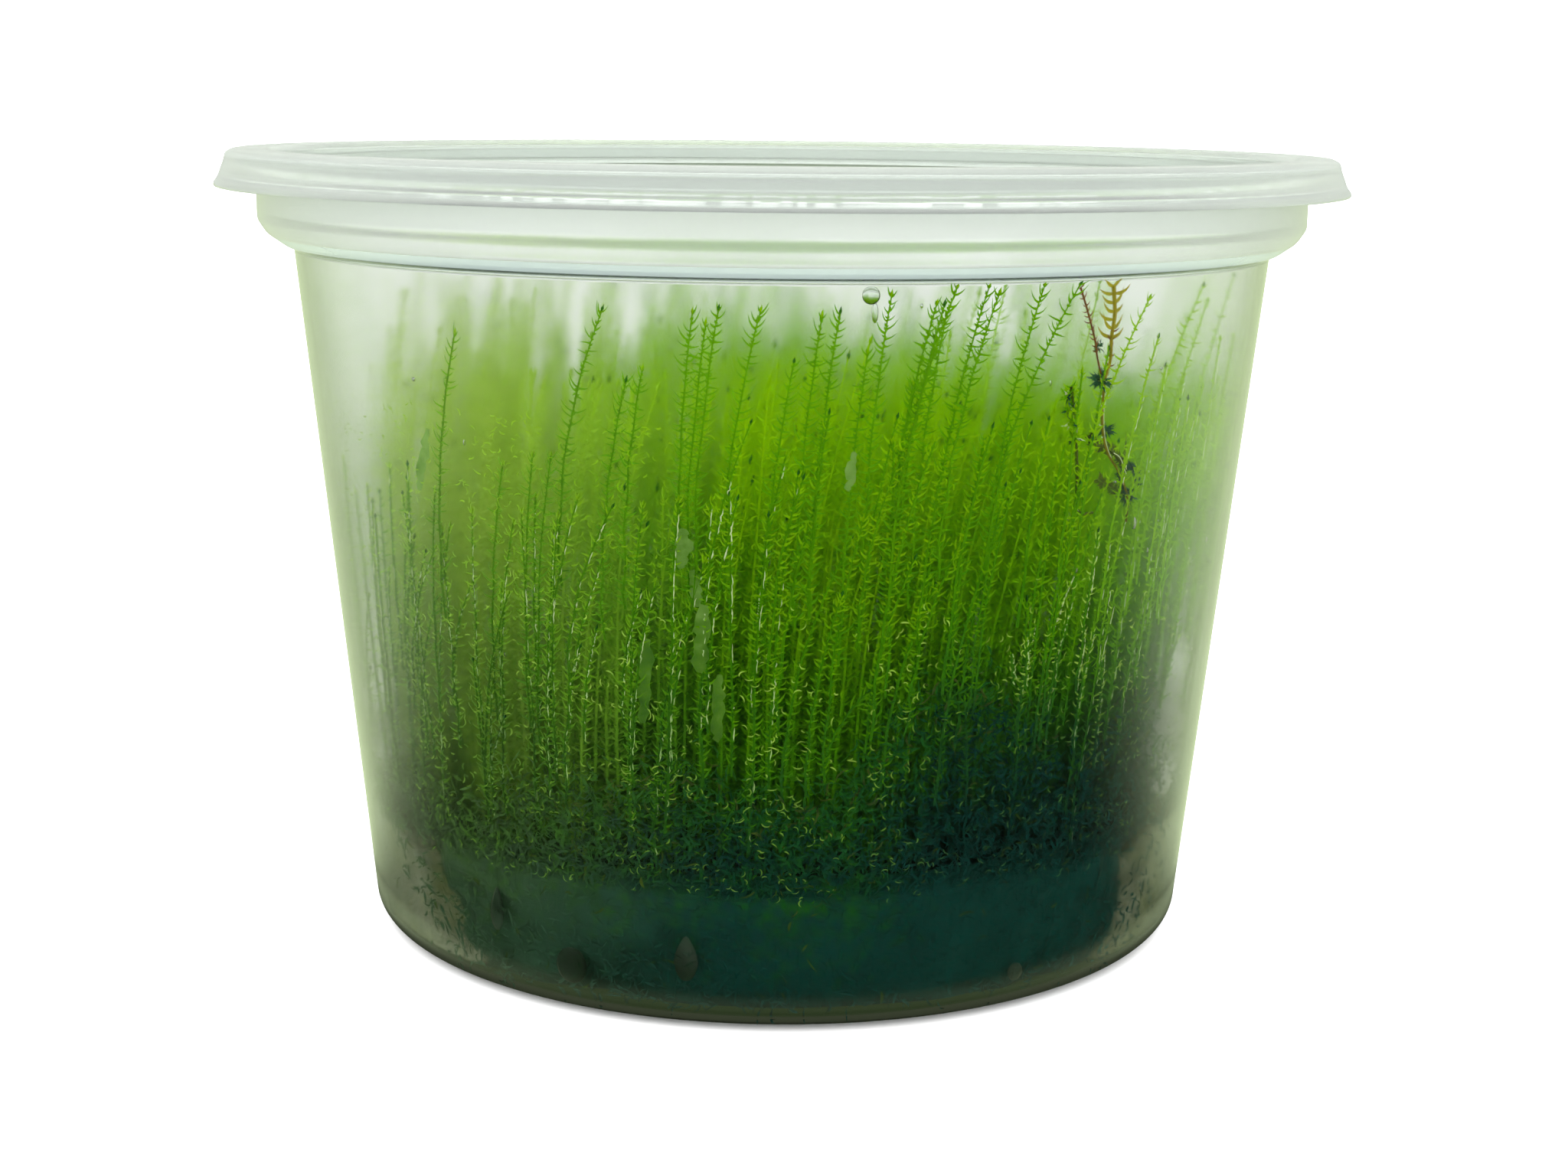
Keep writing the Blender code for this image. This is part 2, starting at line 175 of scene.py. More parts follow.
def wander(radius, angle):
    """Bends the foot plan, so that the borders between tufts wander, as in the construction."""
    inside = 1.0 - (radius / inner_wall_radius(MAT_TOP_Z)) ** 2
    radius = radius * (1.0 + 0.16 * inside * np.sin(3.0 * angle + 0.8))
    angle = angle + 0.13 * np.sin(2.0 * angle + radius / (6.0 * MM))
    return radius * np.cos(angle), radius * np.sin(angle)


# Light: strengths of the dome as seen, as mirrored in the wall, and as it falls on the moss
SEEN_FRONT = 0.9
SEEN_TOP = 1.5
MIRRORED_BACK = 0.8
DIM_FROM_Y = -0.45
BRIGHT_FROM_Y = 0.5
MOSS_LIGHT = 2.6
FLOOR_GLOW = 1.15
MIRRORED_TINT = (0.93, 1.0, 0.88)
# Colour of the floor's painted shadow under the cup
FLOOR_SHADE = (0.36, 0.66, 0.20)
MIRRORED_FLOOR = 0.88
MIRRORED_FLOOR_TINT = (0.84, 1.0, 0.60)


# Materials

def new_material(name):
    material = bpy.data.materials.new(name)
    material.use_nodes = True
    nodes = material.node_tree.nodes
    nodes.clear()
    return material, nodes, material.node_tree.links


def add_node(nodes, kind, **settings):
    node = nodes.new(kind)
    for key, value in settings.items():
        setattr(node, key, value)
    return node


def maths(nodes, links, operation, first, second):
    """A Math node on two sockets or numbers."""
    node = add_node(nodes, "ShaderNodeMath", operation=operation)
    for socket, value in zip(node.inputs, (first, second)):
        if isinstance(value, float):
            socket.default_value = value
        else:
            links.new(value, socket)
    return node.outputs["Value"]


def object_axes(nodes, links):
    """The object's own X, Y and Z."""
    place = add_node(nodes, "ShaderNodeTexCoord")
    split = add_node(nodes, "ShaderNodeSeparateXYZ")
    links.new(place.outputs["Object"], split.inputs["Vector"])
    return split.outputs


def object_noise(nodes, links, scale, detail=3.0, roughness=0.5, stretch=(1.0, 1.0, 1.0)):
    """Noise in the object's own coordinates. scale is per metre."""
    place = add_node(nodes, "ShaderNodeTexCoord")
    mapping = add_node(nodes, "ShaderNodeMapping")
    mapping.inputs["Scale"].default_value = stretch
    texture = add_node(nodes, "ShaderNodeTexNoise")
    texture.inputs["Scale"].default_value = scale
    texture.inputs["Detail"].default_value = detail
    texture.inputs["Roughness"].default_value = roughness
    links.new(place.outputs["Object"], mapping.inputs["Vector"])
    links.new(mapping.outputs["Vector"], texture.inputs["Vector"])
    return texture.outputs["Fac"]


def map_range(nodes, links, value, start, end, low, high, smooth=False):
    """Maps start..end of a value onto low..high, and holds it there."""
    node = add_node(nodes, "ShaderNodeMapRange")
    node.interpolation_type = "SMOOTHSTEP" if smooth else "LINEAR"
    node.inputs["From Min"].default_value = start
    node.inputs["From Max"].default_value = end
    node.inputs["To Min"].default_value = low
    node.inputs["To Max"].default_value = high
    links.new(value, node.inputs["Value"])
    return node.outputs["Result"]


def set_output(nodes, links, shader):
    output = add_node(nodes, "ShaderNodeOutputMaterial")
    links.new(shader, output.inputs["Surface"])


def clear_plastic(name, tint, clarity, haze):
    """Clear polypropylene: see-through or milky, with an uneven haze and a faint moulding ripple."""
    material, nodes, links = new_material(name)
    shader = add_node(nodes, "ShaderNodeBsdfPrincipled")
    shader.inputs["Base Color"].default_value = (*tint, 1.0)
    shader.inputs["Transmission Weight"].default_value = clarity
    shader.inputs["IOR"].default_value = 1.49
    uneven = object_noise(nodes, links, 45.0)
    links.new(map_range(nodes, links, uneven, 0.3, 0.7, haze * 0.8, haze * 1.2), shader.inputs["Roughness"])
    ripple = object_noise(nodes, links, 140.0, detail=2.0)
    bump = add_node(nodes, "ShaderNodeBump")
    bump.inputs["Strength"].default_value = 0.04
    bump.inputs["Distance"].default_value = 0.0002
    links.new(ripple, bump.inputs["Height"])
    links.new(bump.outputs["Normal"], shader.inputs["Normal"])
    set_output(nodes, links, shader.outputs["BSDF"])
    return material


def clear_wet(name, tint, clarity, ior, roughness):
    """Gel and water: clear and wet, with slow clouds in the gloss and the colour."""
    material, nodes, links = new_material(name)
    shader = add_node(nodes, "ShaderNodeBsdfPrincipled")
    shader.inputs["Transmission Weight"].default_value = clarity
    shader.inputs["IOR"].default_value = ior
    cloud = object_noise(nodes, links, 150.0)
    links.new(map_range(nodes, links, cloud, 0.3, 0.7, roughness, roughness * 2.5), shader.inputs["Roughness"])
    deeper = tuple(value ** 2.2 for value in tint)
    links.new(colour_ramp(nodes, links, cloud, ((0.4, tint), (0.62, deeper))), shader.inputs["Base Color"])
    set_output(nodes, links, shader.outputs["BSDF"])
    return material


def growth_and_shade_level(nodes, links, lift, speckle):
    """0 in the old dark foot to 1 at the young tips. This is partly the real age of the tissue and partly painted shade
    that deepens downward, and further low down at the right. It also holds painted light that brightens towards the
    back. The noise patches and grain are real variation.
    """
    axes = object_axes(nodes, links)
    patches = object_noise(nodes, links, 70.0, detail=4.0, roughness=0.6)
    grain = object_noise(nodes, links, 700.0, detail=2.0)
    # Partly painted shade: the level, and so the colour, falls off downward
    level = maths(nodes, links, "MULTIPLY", axes["Z"], 1.0 / TIP_HIGH_Z)
    # Painted shade: darker low down at the right
    right = map_range(nodes, links, axes["X"], 0.005, 0.018, 0.0, -0.17, smooth=True)
    low = map_range(nodes, links, axes["Z"], 0.027, 0.040, 1.0, 0.2, smooth=True)
    parts = [maths(nodes, links, "MULTIPLY", right, low)]
    # Painted light: lighter towards the back (+Y)
    parts.append(maths(nodes, links, "MULTIPLY", axes["Y"], 1.5))
    parts.append(maths(nodes, links, "MULTIPLY", maths(nodes, links, "SUBTRACT", patches, 0.5), 0.45))
    parts.append(maths(nodes, links, "MULTIPLY", maths(nodes, links, "SUBTRACT", grain, 0.5), speckle))
    for part in parts:
        level = maths(nodes, links, "ADD", level, part)
    return maths(nodes, links, "ADD", level, lift)


def colour_ramp(nodes, links, level, stops):
    ramp = add_node(nodes, "ShaderNodeValToRGB")
    elements = ramp.color_ramp.elements
    while len(elements) < len(stops):
        elements.new(0.5)
    for element, (position, colour) in zip(elements, stops):
        element.position = position
        element.color = (*colour, 1.0)
    links.new(level, ramp.inputs["Fac"])
    return ramp.outputs["Color"]


def moss_material(name, stops, translucency, gloss, lift=0.0, speckle=0.3, painted_haze=0.0):
    """Leaf and stem tissue: a coloured surface that also lets light through. It carries a painted haze of light at the
    left, stronger higher up.
    """
    material, nodes, links = new_material(name)
    level = growth_and_shade_level(nodes, links, lift, speckle)
    colour = colour_ramp(nodes, links, level, stops)
    # Painted light: a pale green haze mixed in at the left, where light shows through the thin stand
    if painted_haze:
        axes = object_axes(nodes, links)
        left = map_range(nodes, links, axes["X"], -0.002, -0.036, 0.0, painted_haze, smooth=True)
        high = map_range(nodes, links, axes["Z"], 0.006, 0.045, 0.3, 1.0)
        painted_haze_mix = add_node(nodes, "ShaderNodeMix", data_type="RGBA")
        links.new(maths(nodes, links, "MULTIPLY", left, high), painted_haze_mix.inputs["Factor"])
        links.new(colour, painted_haze_mix.inputs["A"])
        painted_haze_mix.inputs["B"].default_value = (*PAINTED_HAZE_GREEN, 1.0)
        colour = painted_haze_mix.outputs["Result"]
    surface = add_node(nodes, "ShaderNodeBsdfPrincipled")
    surface.inputs["Roughness"].default_value = 0.35
    surface.inputs["Specular IOR Level"].default_value = gloss
    links.new(colour, surface.inputs["Base Color"])
    through = add_node(nodes, "ShaderNodeBsdfTranslucent")
    links.new(colour, through.inputs["Color"])
    mix = add_node(nodes, "ShaderNodeMixShader")
    mix.inputs["Fac"].default_value = translucency
    links.new(surface.outputs["BSDF"], mix.inputs[1])
    links.new(through.outputs["BSDF"], mix.inputs[2])
    set_output(nodes, links, mix.outputs["Shader"])
    return material


# The ramps run along the growth and shade level, from a dark foot to bright tips. The dark teal end is painted shade as
# well as old tissue, and the bright ends are partly painted light.
DARK_TEAL = (0.004, 0.050, 0.036)
DEEP_GREEN = (0.035, 0.170, 0.014)
MID_GREEN = (0.095, 0.350, 0.002)
BRIGHT_GREEN = (0.250, 0.600, 0.000)
YOUNG_GREEN = (0.480, 0.820, 0.000)
# Colour of the painted haze of light
PAINTED_HAZE_GREEN = (0.700, 0.860, 0.200)
LEAF_STOPS = ((0.02, DARK_TEAL), (0.17, DEEP_GREEN), (0.33, MID_GREEN), (0.55, BRIGHT_GREEN), (0.83, YOUNG_GREEN))
WALL_STOPS = ((0.02, DARK_TEAL), (0.17, (0.020, 0.110, 0.020)), (0.50, (0.080, 0.320, 0.0)),
              (0.90, (0.220, 0.560, 0.0)))
BUD_STOPS = ((0.0, DARK_TEAL), (0.5, (0.030, 0.140, 0.012)), (1.0, (0.060, 0.260, 0.012)))
# Painted highlight colours for leaves that stand for glints
GLINT_STOPS = ((0.02, (0.06, 0.18, 0.06)), (0.25, (0.26, 0.52, 0.05)), (0.50, (0.62, 0.92, 0.12)))
# Painted highlight: the bright colour of the water film lines
FILM_HIGHLIGHT_STOPS = ((0.02, (0.10, 0.22, 0.15)), (0.33, (0.55, 0.82, 0.25)), (0.60, (0.92, 1.0, 0.55)))
SMEAR_STOPS = ((0.2, (0.030, 0.110, 0.015)), (0.5, (0.125, 0.300, 0.022)), (0.8, (0.320, 0.540, 0.120)))
MAT_STOPS = ((0.30, (0.005, 0.050, 0.040)), (0.42, (0.007, 0.062, 0.028)), (0.54, (0.015, 0.110, 0.014)),
             (0.80, (0.040, 0.160, 0.006)))
BROWN_STOPS = ((0.0, (0.020, 0.060, 0.020)), (0.4, (0.050, 0.100, 0.016)), (1.0, (0.120, 0.170, 0.020)))
YELLOW_STOPS = ((0.5, (0.160, 0.130, 0.010)), (0.8, (0.420, 0.340, 0.012)), (1.1, (0.620, 0.520, 0.030)))
RED_STOPS = ((0.5, (0.120, 0.090, 0.020)), (0.8, (0.260, 0.110, 0.020)), (1.1, (0.340, 0.140, 0.040)))
CLUMP_STOPS = ((0.3, (0.010, 0.050, 0.038)), (0.7, (0.026, 0.110, 0.062)), (1.0, (0.060, 0.190, 0.080)))
FLAKE_STOPS = ((0.0, (0.120, 0.130, 0.050)), (0.3, (0.340, 0.330, 0.160)), (0.7, (0.540, 0.520, 0.320)))

cup_plastic = clear_plastic("clear_cup_plastic", (0.91, 0.94, 0.90), 1.0, 0.05)
misted_plastic = clear_plastic("misted_cup_plastic", (0.91, 0.94, 0.90), 1.0, 0.15)
shoulder_plastic = clear_plastic("milky_shoulder_plastic", (0.70, 0.82, 0.79), 0.6, 0.22)
band_plastic = clear_plastic("milky_band_plastic", (0.89, 0.93, 0.89), 0.84, 0.22)
lid_plastic = clear_plastic("clear_lid_plastic", (0.90, 0.95, 0.91), 0.86, 0.22)
panel_plastic = clear_plastic("clear_panel_plastic", (0.90, 0.95, 0.91), 0.96, 0.15)
gel_look = clear_wet("straw_gel", (0.66, 0.70, 0.46), 0.72, 1.34, 0.08)
bubble_look = clear_wet("gel_bubble", (0.34, 0.44, 0.34), 0.92, 1.10, 0.05)
water_look = clear_wet("clear_water", (0.97, 0.99, 0.97), 1.0, 1.33, 0.005)
# Painted highlight: the beads are a white surface that stands for their glints
bead_glint_look = clear_wet("condensed_beads_painted_glint", (1.0, 1.0, 1.0), 0.1, 1.33, 0.02)
leaf_look = moss_material("moss_leaf", LEAF_STOPS, 0.5, 0.08, painted_haze=0.8)
stem_look = moss_material("moss_stem", LEAF_STOPS, 0.3, 0.08, painted_haze=0.7)
bud_look = moss_material("moss_bud", BUD_STOPS, 0.3, 0.1)
wall_stem_look = moss_material("wall_moss_stem", WALL_STOPS, 0.4, 0.06, painted_haze=0.15)
wall_leaf_look = moss_material("wall_moss_leaf", LEAF_STOPS, 0.5, 0.08, painted_haze=0.3)
# Painted highlight: curled leaves coloured bright to stand for glints
glint_look = moss_material("curled_leaf_painted_glint", GLINT_STOPS, 0.4, 0.3)
# Painted highlight: thin water film lines coloured near white
film_highlight_look = moss_material("water_film_painted_highlight", FILM_HIGHLIGHT_STOPS, 0.4, 0.5)
mat_look = moss_material("old_moss", MAT_STOPS, 0.2, 0.05, lift=0.25, speckle=0.5, painted_haze=0.2)
thread_look = moss_material("old_moss_thread", BROWN_STOPS, 0.3, 0.1, lift=0.2, speckle=1.2)
smear_look = moss_material("damp_smear", SMEAR_STOPS, 0.4, 0.1, speckle=0.6)
yellow_look = moss_material("old_yellow_stem", YELLOW_STOPS, 0.5, 0.2)
red_look = moss_material("old_red_stem", RED_STOPS, 0.4, 0.2)
clump_look = moss_material("dark_clump", CLUMP_STOPS, 0.3, 0.2)
flake_look = moss_material("old_leaf_flake", FLAKE_STOPS, 0.5, 0.2, lift=0.25, speckle=1.0)


# Mesh helpers

class Batch:
    """Triangles gathered for one piece, each with its material's number."""

    def __init__(self):
        self.points, self.faces, self.slots, self.count = [], [], [], 0

    def add(self, points, faces, slot):
        points = np.asarray(points).reshape(-1, 3)
        self.points.append(points)
        self.faces.append(np.asarray(faces).reshape(-1, 3) + self.count)
        self.slots.append(np.full(len(self.faces[-1]), slot))
        self.count += len(points)

    def make(self, name, materials, smooth=False):
        corners = np.concatenate(self.faces).astype(np.int32).ravel()
        mesh = bpy.data.meshes.new(name)
        mesh.vertices.add(self.count)
        mesh.vertices.foreach_set("co", np.concatenate(self.points).astype(np.float32).ravel())
        mesh.loops.add(len(corners))
        mesh.loops.foreach_set("vertex_index", corners)
        mesh.polygons.add(len(corners) // 3)
        mesh.polygons.foreach_set("loop_start", np.arange(0, len(corners), 3, dtype=np.int32))
        for material in materials:
            mesh.materials.append(material)
        mesh.polygons.foreach_set("material_index", np.concatenate(self.slots).astype(np.int32))
        mesh.polygons.foreach_set("use_smooth", np.full(len(corners) // 3, smooth))
        mesh.update(calc_edges=True)
        mesh.validate()
        obj = bpy.data.objects.new(name, mesh)
        bpy.context.scene.collection.objects.link(obj)
        return obj


def finish_piece(obj, slot, *nodes):
    """Rides on the one body and stands for its nodes. slot is not used."""
    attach(obj, "root")
    if nodes:
        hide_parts(*nodes)


def arc(centre_r, centre_z, radius, start_deg, end_deg, steps):
    points = []
    for i in range(steps + 1):
        angle = math.radians(start_deg + (end_deg - start_deg) * i / steps)
        points.append((centre_r + radius * math.cos(angle), centre_z + radius * math.sin(angle)))
    return points


def turned(name, profile, material, steps=TURN_STEPS):
    """Turns a closed profile, axis to axis, round Z."""
    bm = bmesh.new()
    vertices = [bm.verts.new((radius, 0.0, height)) for radius, height in profile]
    edges = [bm.edges.new(pair) for pair in zip(vertices, vertices[1:])]
    bmesh.ops.spin(bm, geom=vertices + edges, cent=(0, 0, 0), axis=(0, 0, 1), angle=math.tau, steps=steps,
                   use_merge=True)
    bmesh.ops.remove_doubles(bm, verts=bm.verts, dist=0.000001)
    bmesh.ops.recalc_face_normals(bm, faces=bm.faces)
    mesh = bpy.data.meshes.new(name)
    bm.to_mesh(mesh)
    bm.free()
    mesh.shade_smooth()
    mesh.set_sharp_from_angle(angle=math.radians(50.0))
    mesh.materials.append(material)
    obj = bpy.data.objects.new(name, mesh)
    bpy.context.scene.collection.objects.link(obj)
    return obj


def rounded(profile, radius, steps=3):
    """The same profile with each corner between its ends cut to a short curve."""
    result = [profile[0]]
    for before, corner, after in zip(profile, profile[1:], profile[2:]):
        corner_v = Vector(corner)
        back = Vector(before) - corner_v
        ahead = Vector(after) - corner_v
        reach = min(radius, back.length * 0.45, ahead.length * 0.45)
        start = corner_v + back.normalized() * reach
        end = corner_v + ahead.normalized() * reach
        for i in range(steps + 1):
            t = i / steps
            point = start * (1 - t) ** 2 + corner_v * 2 * t * (1 - t) + end * t ** 2
            result.append((point.x, point.y))
    result.append(profile[-1])
    return result


def keep_inside(points, clearance):
    """Presses what would pass the cup's wall flat against it."""
    radius = np.hypot(points[..., 0], points[..., 1])
    limit = inner_wall_radius(points[..., 2]) - clearance
    scale = np.minimum(1.0, limit / np.maximum(radius, 1e-6))
    points[..., 0] *= scale
    points[..., 1] *= scale
    return points


def unit(vectors):
    return vectors / np.maximum(np.linalg.norm(vectors, axis=-1, keepdims=True), 1e-12)


def on_wall(angle_deg, height, inset):
    """A point near the wall's inner face."""
    radius = float(inner_wall_radius(height)) - inset
    angle = math.radians(angle_deg)
    return np.array([radius * math.cos(angle), radius * math.sin(angle), height])


# Cup and lid

def build_cup():
    corner_centre_r = BASE_R - BASE_CORNER_R
    floor_z = FOOT_LIFT + WALL
    inside = [(0.0, floor_z), (FOOT_INNER_R - WALL, floor_z), (FOOT_INNER_R + WALL, WALL)]
    inside += arc(corner_centre_r, BASE_CORNER_R, BASE_CORNER_R - WALL, -90, 0, 8)
    inside += [(SHOULDER_R - WALL, SHOULDER_Z + WALL)]
    inside += [(SHOULDER_R + SHOULDER_EASE, SHOULDER_Z + WALL + SHOULDER_EASE / 3)]
    inside += [(BAND_R - WALL - SHOULDER_EASE, BAND_BOTTOM_Z + WALL - SHOULDER_EASE * 1.5)]
    inside += [(BAND_R - WALL, BAND_BOTTOM_Z + WALL), (BAND_R - WALL, RIM_Z - RIM_EDGE)]
    rim = [(BAND_R - WALL + RIM_EDGE, RIM_Z), (FLANGE_R - RIM_EDGE, RIM_Z), (FLANGE_R, RIM_Z - RIM_EDGE)]
    rim += [(FLANGE_R, FLANGE_Z)]
    outside = [(BAND_R, FLANGE_Z), (BAND_R, BAND_BOTTOM_Z)]
    outside += [(BAND_R - SHOULDER_EASE, BAND_BOTTOM_Z - SHOULDER_EASE * 1.5)]
    outside += [(SHOULDER_R + SHOULDER_EASE, SHOULDER_Z + SHOULDER_EASE / 3), (SHOULDER_R, SHOULDER_Z)]
    outside += arc(corner_centre_r, BASE_CORNER_R, BASE_CORNER_R, 0, -90, 8)
    foot = [(FOOT_INNER_R + WALL, 0.0), (FOOT_INNER_R, FOOT_LIFT), (0.0, FOOT_LIFT)]
    cup = turned("clear_cup", rounded(inside + rim + outside + foot, 0.35 * MM), cup_plastic)
    for material in (band_plastic, misted_plastic, shoulder_plastic):
        cup.data.materials.append(material)
    for face in cup.data.polygons:
        height = face.center.z
        if height > SHOULDER_Z + 0.40 * MM:
            face.material_index = 3 if height < SHOULDER_Z + 1.1 * MM else 1
        elif face.normal.xy.dot(face.center.xy) < 0.0 or (height > FOOT_LIFT and face.normal.z > 0.5):
            face.material_index = 2
    finish_piece(cup, "cup_plastic", "cup")


def build_lid():
    recess_r = PLUG_R - LID_WALL
    top = [(0.0, PANEL_Z), (recess_r - LID_EDGE, PANEL_Z), (recess_r, PANEL_Z + LID_EDGE)]
    top += [(recess_r, LID_TOP_Z - LID_EDGE), (recess_r + LID_EDGE, LID_TOP_Z)]
    skirt = [(LID_TOP_R - 2 * LID_EDGE, LID_TOP_Z), (LID_TOP_R - LID_EDGE / 4, LID_TOP_Z - LID_EDGE)]
    skirt += [(LID_TOP_R, LID_TOP_Z - 2.5 * LID_EDGE), (SKIRT_R - LID_EDGE, SKIRT_Z + 2.2 * LID_EDGE)]
    skirt += [(SKIRT_R, SKIRT_Z + LID_EDGE), (SKIRT_R, SKIRT_Z)]
    bead = [(SKIRT_R - SKIRT_FOOT, SKIRT_Z), (BEAD_R, SKIRT_Z + LID_EDGE * 1.5)]
    bead += [(BEAD_R + LID_EDGE, SKIRT_Z + LID_EDGE * 3)]
    under_z = LID_TOP_Z - LID_WALL
    panel_under_z = PANEL_Z - LID_WALL
    under = [(BEAD_R + LID_EDGE, under_z), (PLUG_R, under_z), (PLUG_R, panel_under_z + LID_EDGE)]
    under += [(PLUG_R - LID_EDGE, panel_under_z), (0.0, panel_under_z)]
    lid = turned("clear_lid", rounded(top + skirt + bead + under, 0.25 * MM), lid_plastic)
    lid.data.materials.append(panel_plastic)
    for face in lid.data.polygons:
        if face.center.xy.length < recess_r - 2 * LID_EDGE:
            face.material_index = 1
    finish_piece(lid, "lid_plastic", "lid")


# Gel, mat and what lies in them

def build_gel():
    """A cloudy disc round the mat's foot, with an uneven top."""
    gap = 0.4 * MM
    corner_centre_r = BASE_R - BASE_CORNER_R
    meniscus_r = float(inner_wall_radius(GEL_TOP_Z)) - gap
    top = [(0.0, GEL_TOP_Z), (meniscus_r - 1.5 * MM, GEL_TOP_Z), (meniscus_r, GEL_TOP_Z + 0.9 * MM)]
    corner = arc(corner_centre_r, BASE_CORNER_R, BASE_CORNER_R - WALL - gap, 0, -90, 8)
    wall_z = np.linspace(GEL_TOP_Z - 0.6 * MM, BASE_CORNER_R + 0.5 * MM, 5)
    side = [(float(inner_wall_radius(z)) - gap, float(z)) for z in wall_z] + corner
    side += [(FOOT_INNER_R + WALL, WALL + 0.1 * MM), (FOOT_INNER_R - WALL, FOOT_LIFT + WALL + 0.1 * MM)]
    side += [(0.0, FOOT_LIFT + WALL + 0.1 * MM)]
    gel = turned("straw_gel", rounded(top, 1.0 * MM) + side, gel_look)
    for vertex in gel.data.vertices:
        place = vertex.co
        radius = place.xy.length
        if radius > 1.0 * MM:
            ragged = 0.24 * noise.noise(place * 170.0) + 0.16 * noise.noise(place * 420.0)
            angle = np.array([math.atan2(place.y, place.x) + ragged])
            is_open = float(open_gel(angle, place.z, 13.0)[0])
            covered = 1.0 - is_open
            if place.z > 5.0 * MM:
                rise = CORNER_RISE * is_open * max(0.0, radius - 34.0 * MM) / (9.0 * MM)
                place.z += rise + (2.6 + 2.4 * is_open) * MM * noise.noise(place * 90.0)
            behind_mat = min(radius, float(inner_wall_radius(place.z)) - 5.2 * MM)
            place.xy *= 1.0 + (behind_mat / radius - 1.0) * covered
    finish_piece(gel, "gel", "nutrient_gel")


def mat_side():
    """The mat's outline from its top edge down, as (radius, height). It lies close to the wall, and its foot runs out
    over the cup's floor as a dark layer: old moss that also stands in for the shade under the cup.
    """
    edge_r = float(inner_wall_radius(MAT_TOP_Z)) - 0.9 * MM
    low_r = float(inner_wall_radius(BASE_CORNER_R)) - 0.9 * MM
    return [(edge_r - 1.2 * MM, MAT_TOP_Z + 0.8 * MM), (edge_r, MAT_TOP_Z - 1.2 * MM), (low_r, 3.2 * MM),
            (low_r - 0.6 * MM, 1.9 * MM), (BASE_R - BASE_CORNER_R, 1.1 * MM), (FOOT_INNER_R + 1.2 * MM, 1.0 * MM),
            (FOOT_INNER_R - 1.0 * MM, 1.8 * MM)]


def mat_radius(height, angle, base_r):
    """The mat's side, with lumps and hollows. Clear gel shows where it is cut back at the left and right."""
    spot = Vector((base_r * math.cos(angle), base_r * math.sin(angle), height))
    lump = abs(noise.noise(spot * 90.0)) * MAT_LUMP + abs(noise.noise(spot * 260.0)) * 0.9 * MM
    radius = base_r - lump
    for middle_deg, chord, _ in MAT_CUTS:
        facing = math.cos(angle - math.radians(middle_deg))
        if facing > 0.2:
            wave = 1.6 * MM * noise.noise(spot * 110.0 + Vector((5.0, 0.0, 0.0)))
            rise = max(0.0, height - MAT_CUT_TOP_Z + 4.0 * MM * noise.noise(spot * 80.0)) * 2.5
            radius = min(radius, (chord + wave + rise) / facing)
    return radius


def resample(profile, steps):
    """Evenly spaced points along a polyline of (radius, height)."""
    lengths = [0.0]
    for a, b in zip(profile, profile[1:]):
        lengths.append(lengths[-1] + math.dist(a, b))
    places = np.linspace(0.0, lengths[-1], steps)
    return list(zip(np.interp(places, lengths, [p[0] for p in profile]),
                    np.interp(places, lengths, [p[1] for p in profile])))


def build_mat():
    """The old tangle: a lumpy dark body with loose threads over its side."""
    rng = np.random.default_rng(21)
    side = resample(mat_side(), 40)
    inner = [(0.75, MAT_TOP_Z + 0.3 * MM), (0.45, MAT_TOP_Z), (0.2, MAT_TOP_Z)]
    rows = []
    for share, height in reversed(inner):
        rows.append([(side[0][0] * share, height)] * MAT_TURNS)
    for base_r, height in side:
        row = []
        for i in range(MAT_TURNS):
            row.append((mat_radius(height, math.tau * i / MAT_TURNS, base_r), height))
        rows.append(row)
    rows.append([(side[-1][0] * 0.5, side[-1][1])] * MAT_TURNS)
    angles = np.arange(MAT_TURNS) * math.tau / MAT_TURNS
    ring = np.stack([np.cos(angles), np.sin(angles)], axis=1)
    points = []
    for row in rows:
        row = np.array(row)
        points.append(np.column_stack([ring * row[:, :1], row[:, 1]]))
    top_centre = np.array([[0.0, 0.0, MAT_TOP_Z]])
    low_centre = np.array([[0.0, 0.0, side[-1][1]]])
    points = np.concatenate(points + [top_centre, low_centre])
    index = np.arange(len(rows) * MAT_TURNS).reshape(len(rows), MAT_TURNS)
    upper, lower = index[:-1], index[1:]
    upper_next, lower_next = np.roll(upper, -1, axis=1), np.roll(lower, -1, axis=1)
    faces = [np.stack([upper, lower, lower_next], axis=-1).reshape(-1, 3)]
    faces.append(np.stack([upper, lower_next, upper_next], axis=-1).reshape(-1, 3))
    top, low = len(points) - 2, len(points) - 1
    faces.append(np.stack([np.full(MAT_TURNS, top), index[0], np.roll(index[0], -1)], axis=-1))
    faces.append(np.stack([np.full(MAT_TURNS, low), np.roll(index[-1], -1), index[-1]], axis=-1))
    batch = Batch()
    batch.add(points, np.concatenate(faces), 0)
    add_tangle(batch, 11500, 0.0, math.tau, 1.9 * MM, (0, 1), rng)
    add_gel_bits(batch, 1500, (1, 2), rng)
    piece = batch.make("old_moss_mat", (mat_look, thread_look, flake_look))
    finish_piece(piece, "old_moss", "moss_mat")


def outward_of(points):
    """The direction straight out from the cup's axis at each point."""
    return unit(points * np.array([1.0, 1.0, 0.0]))


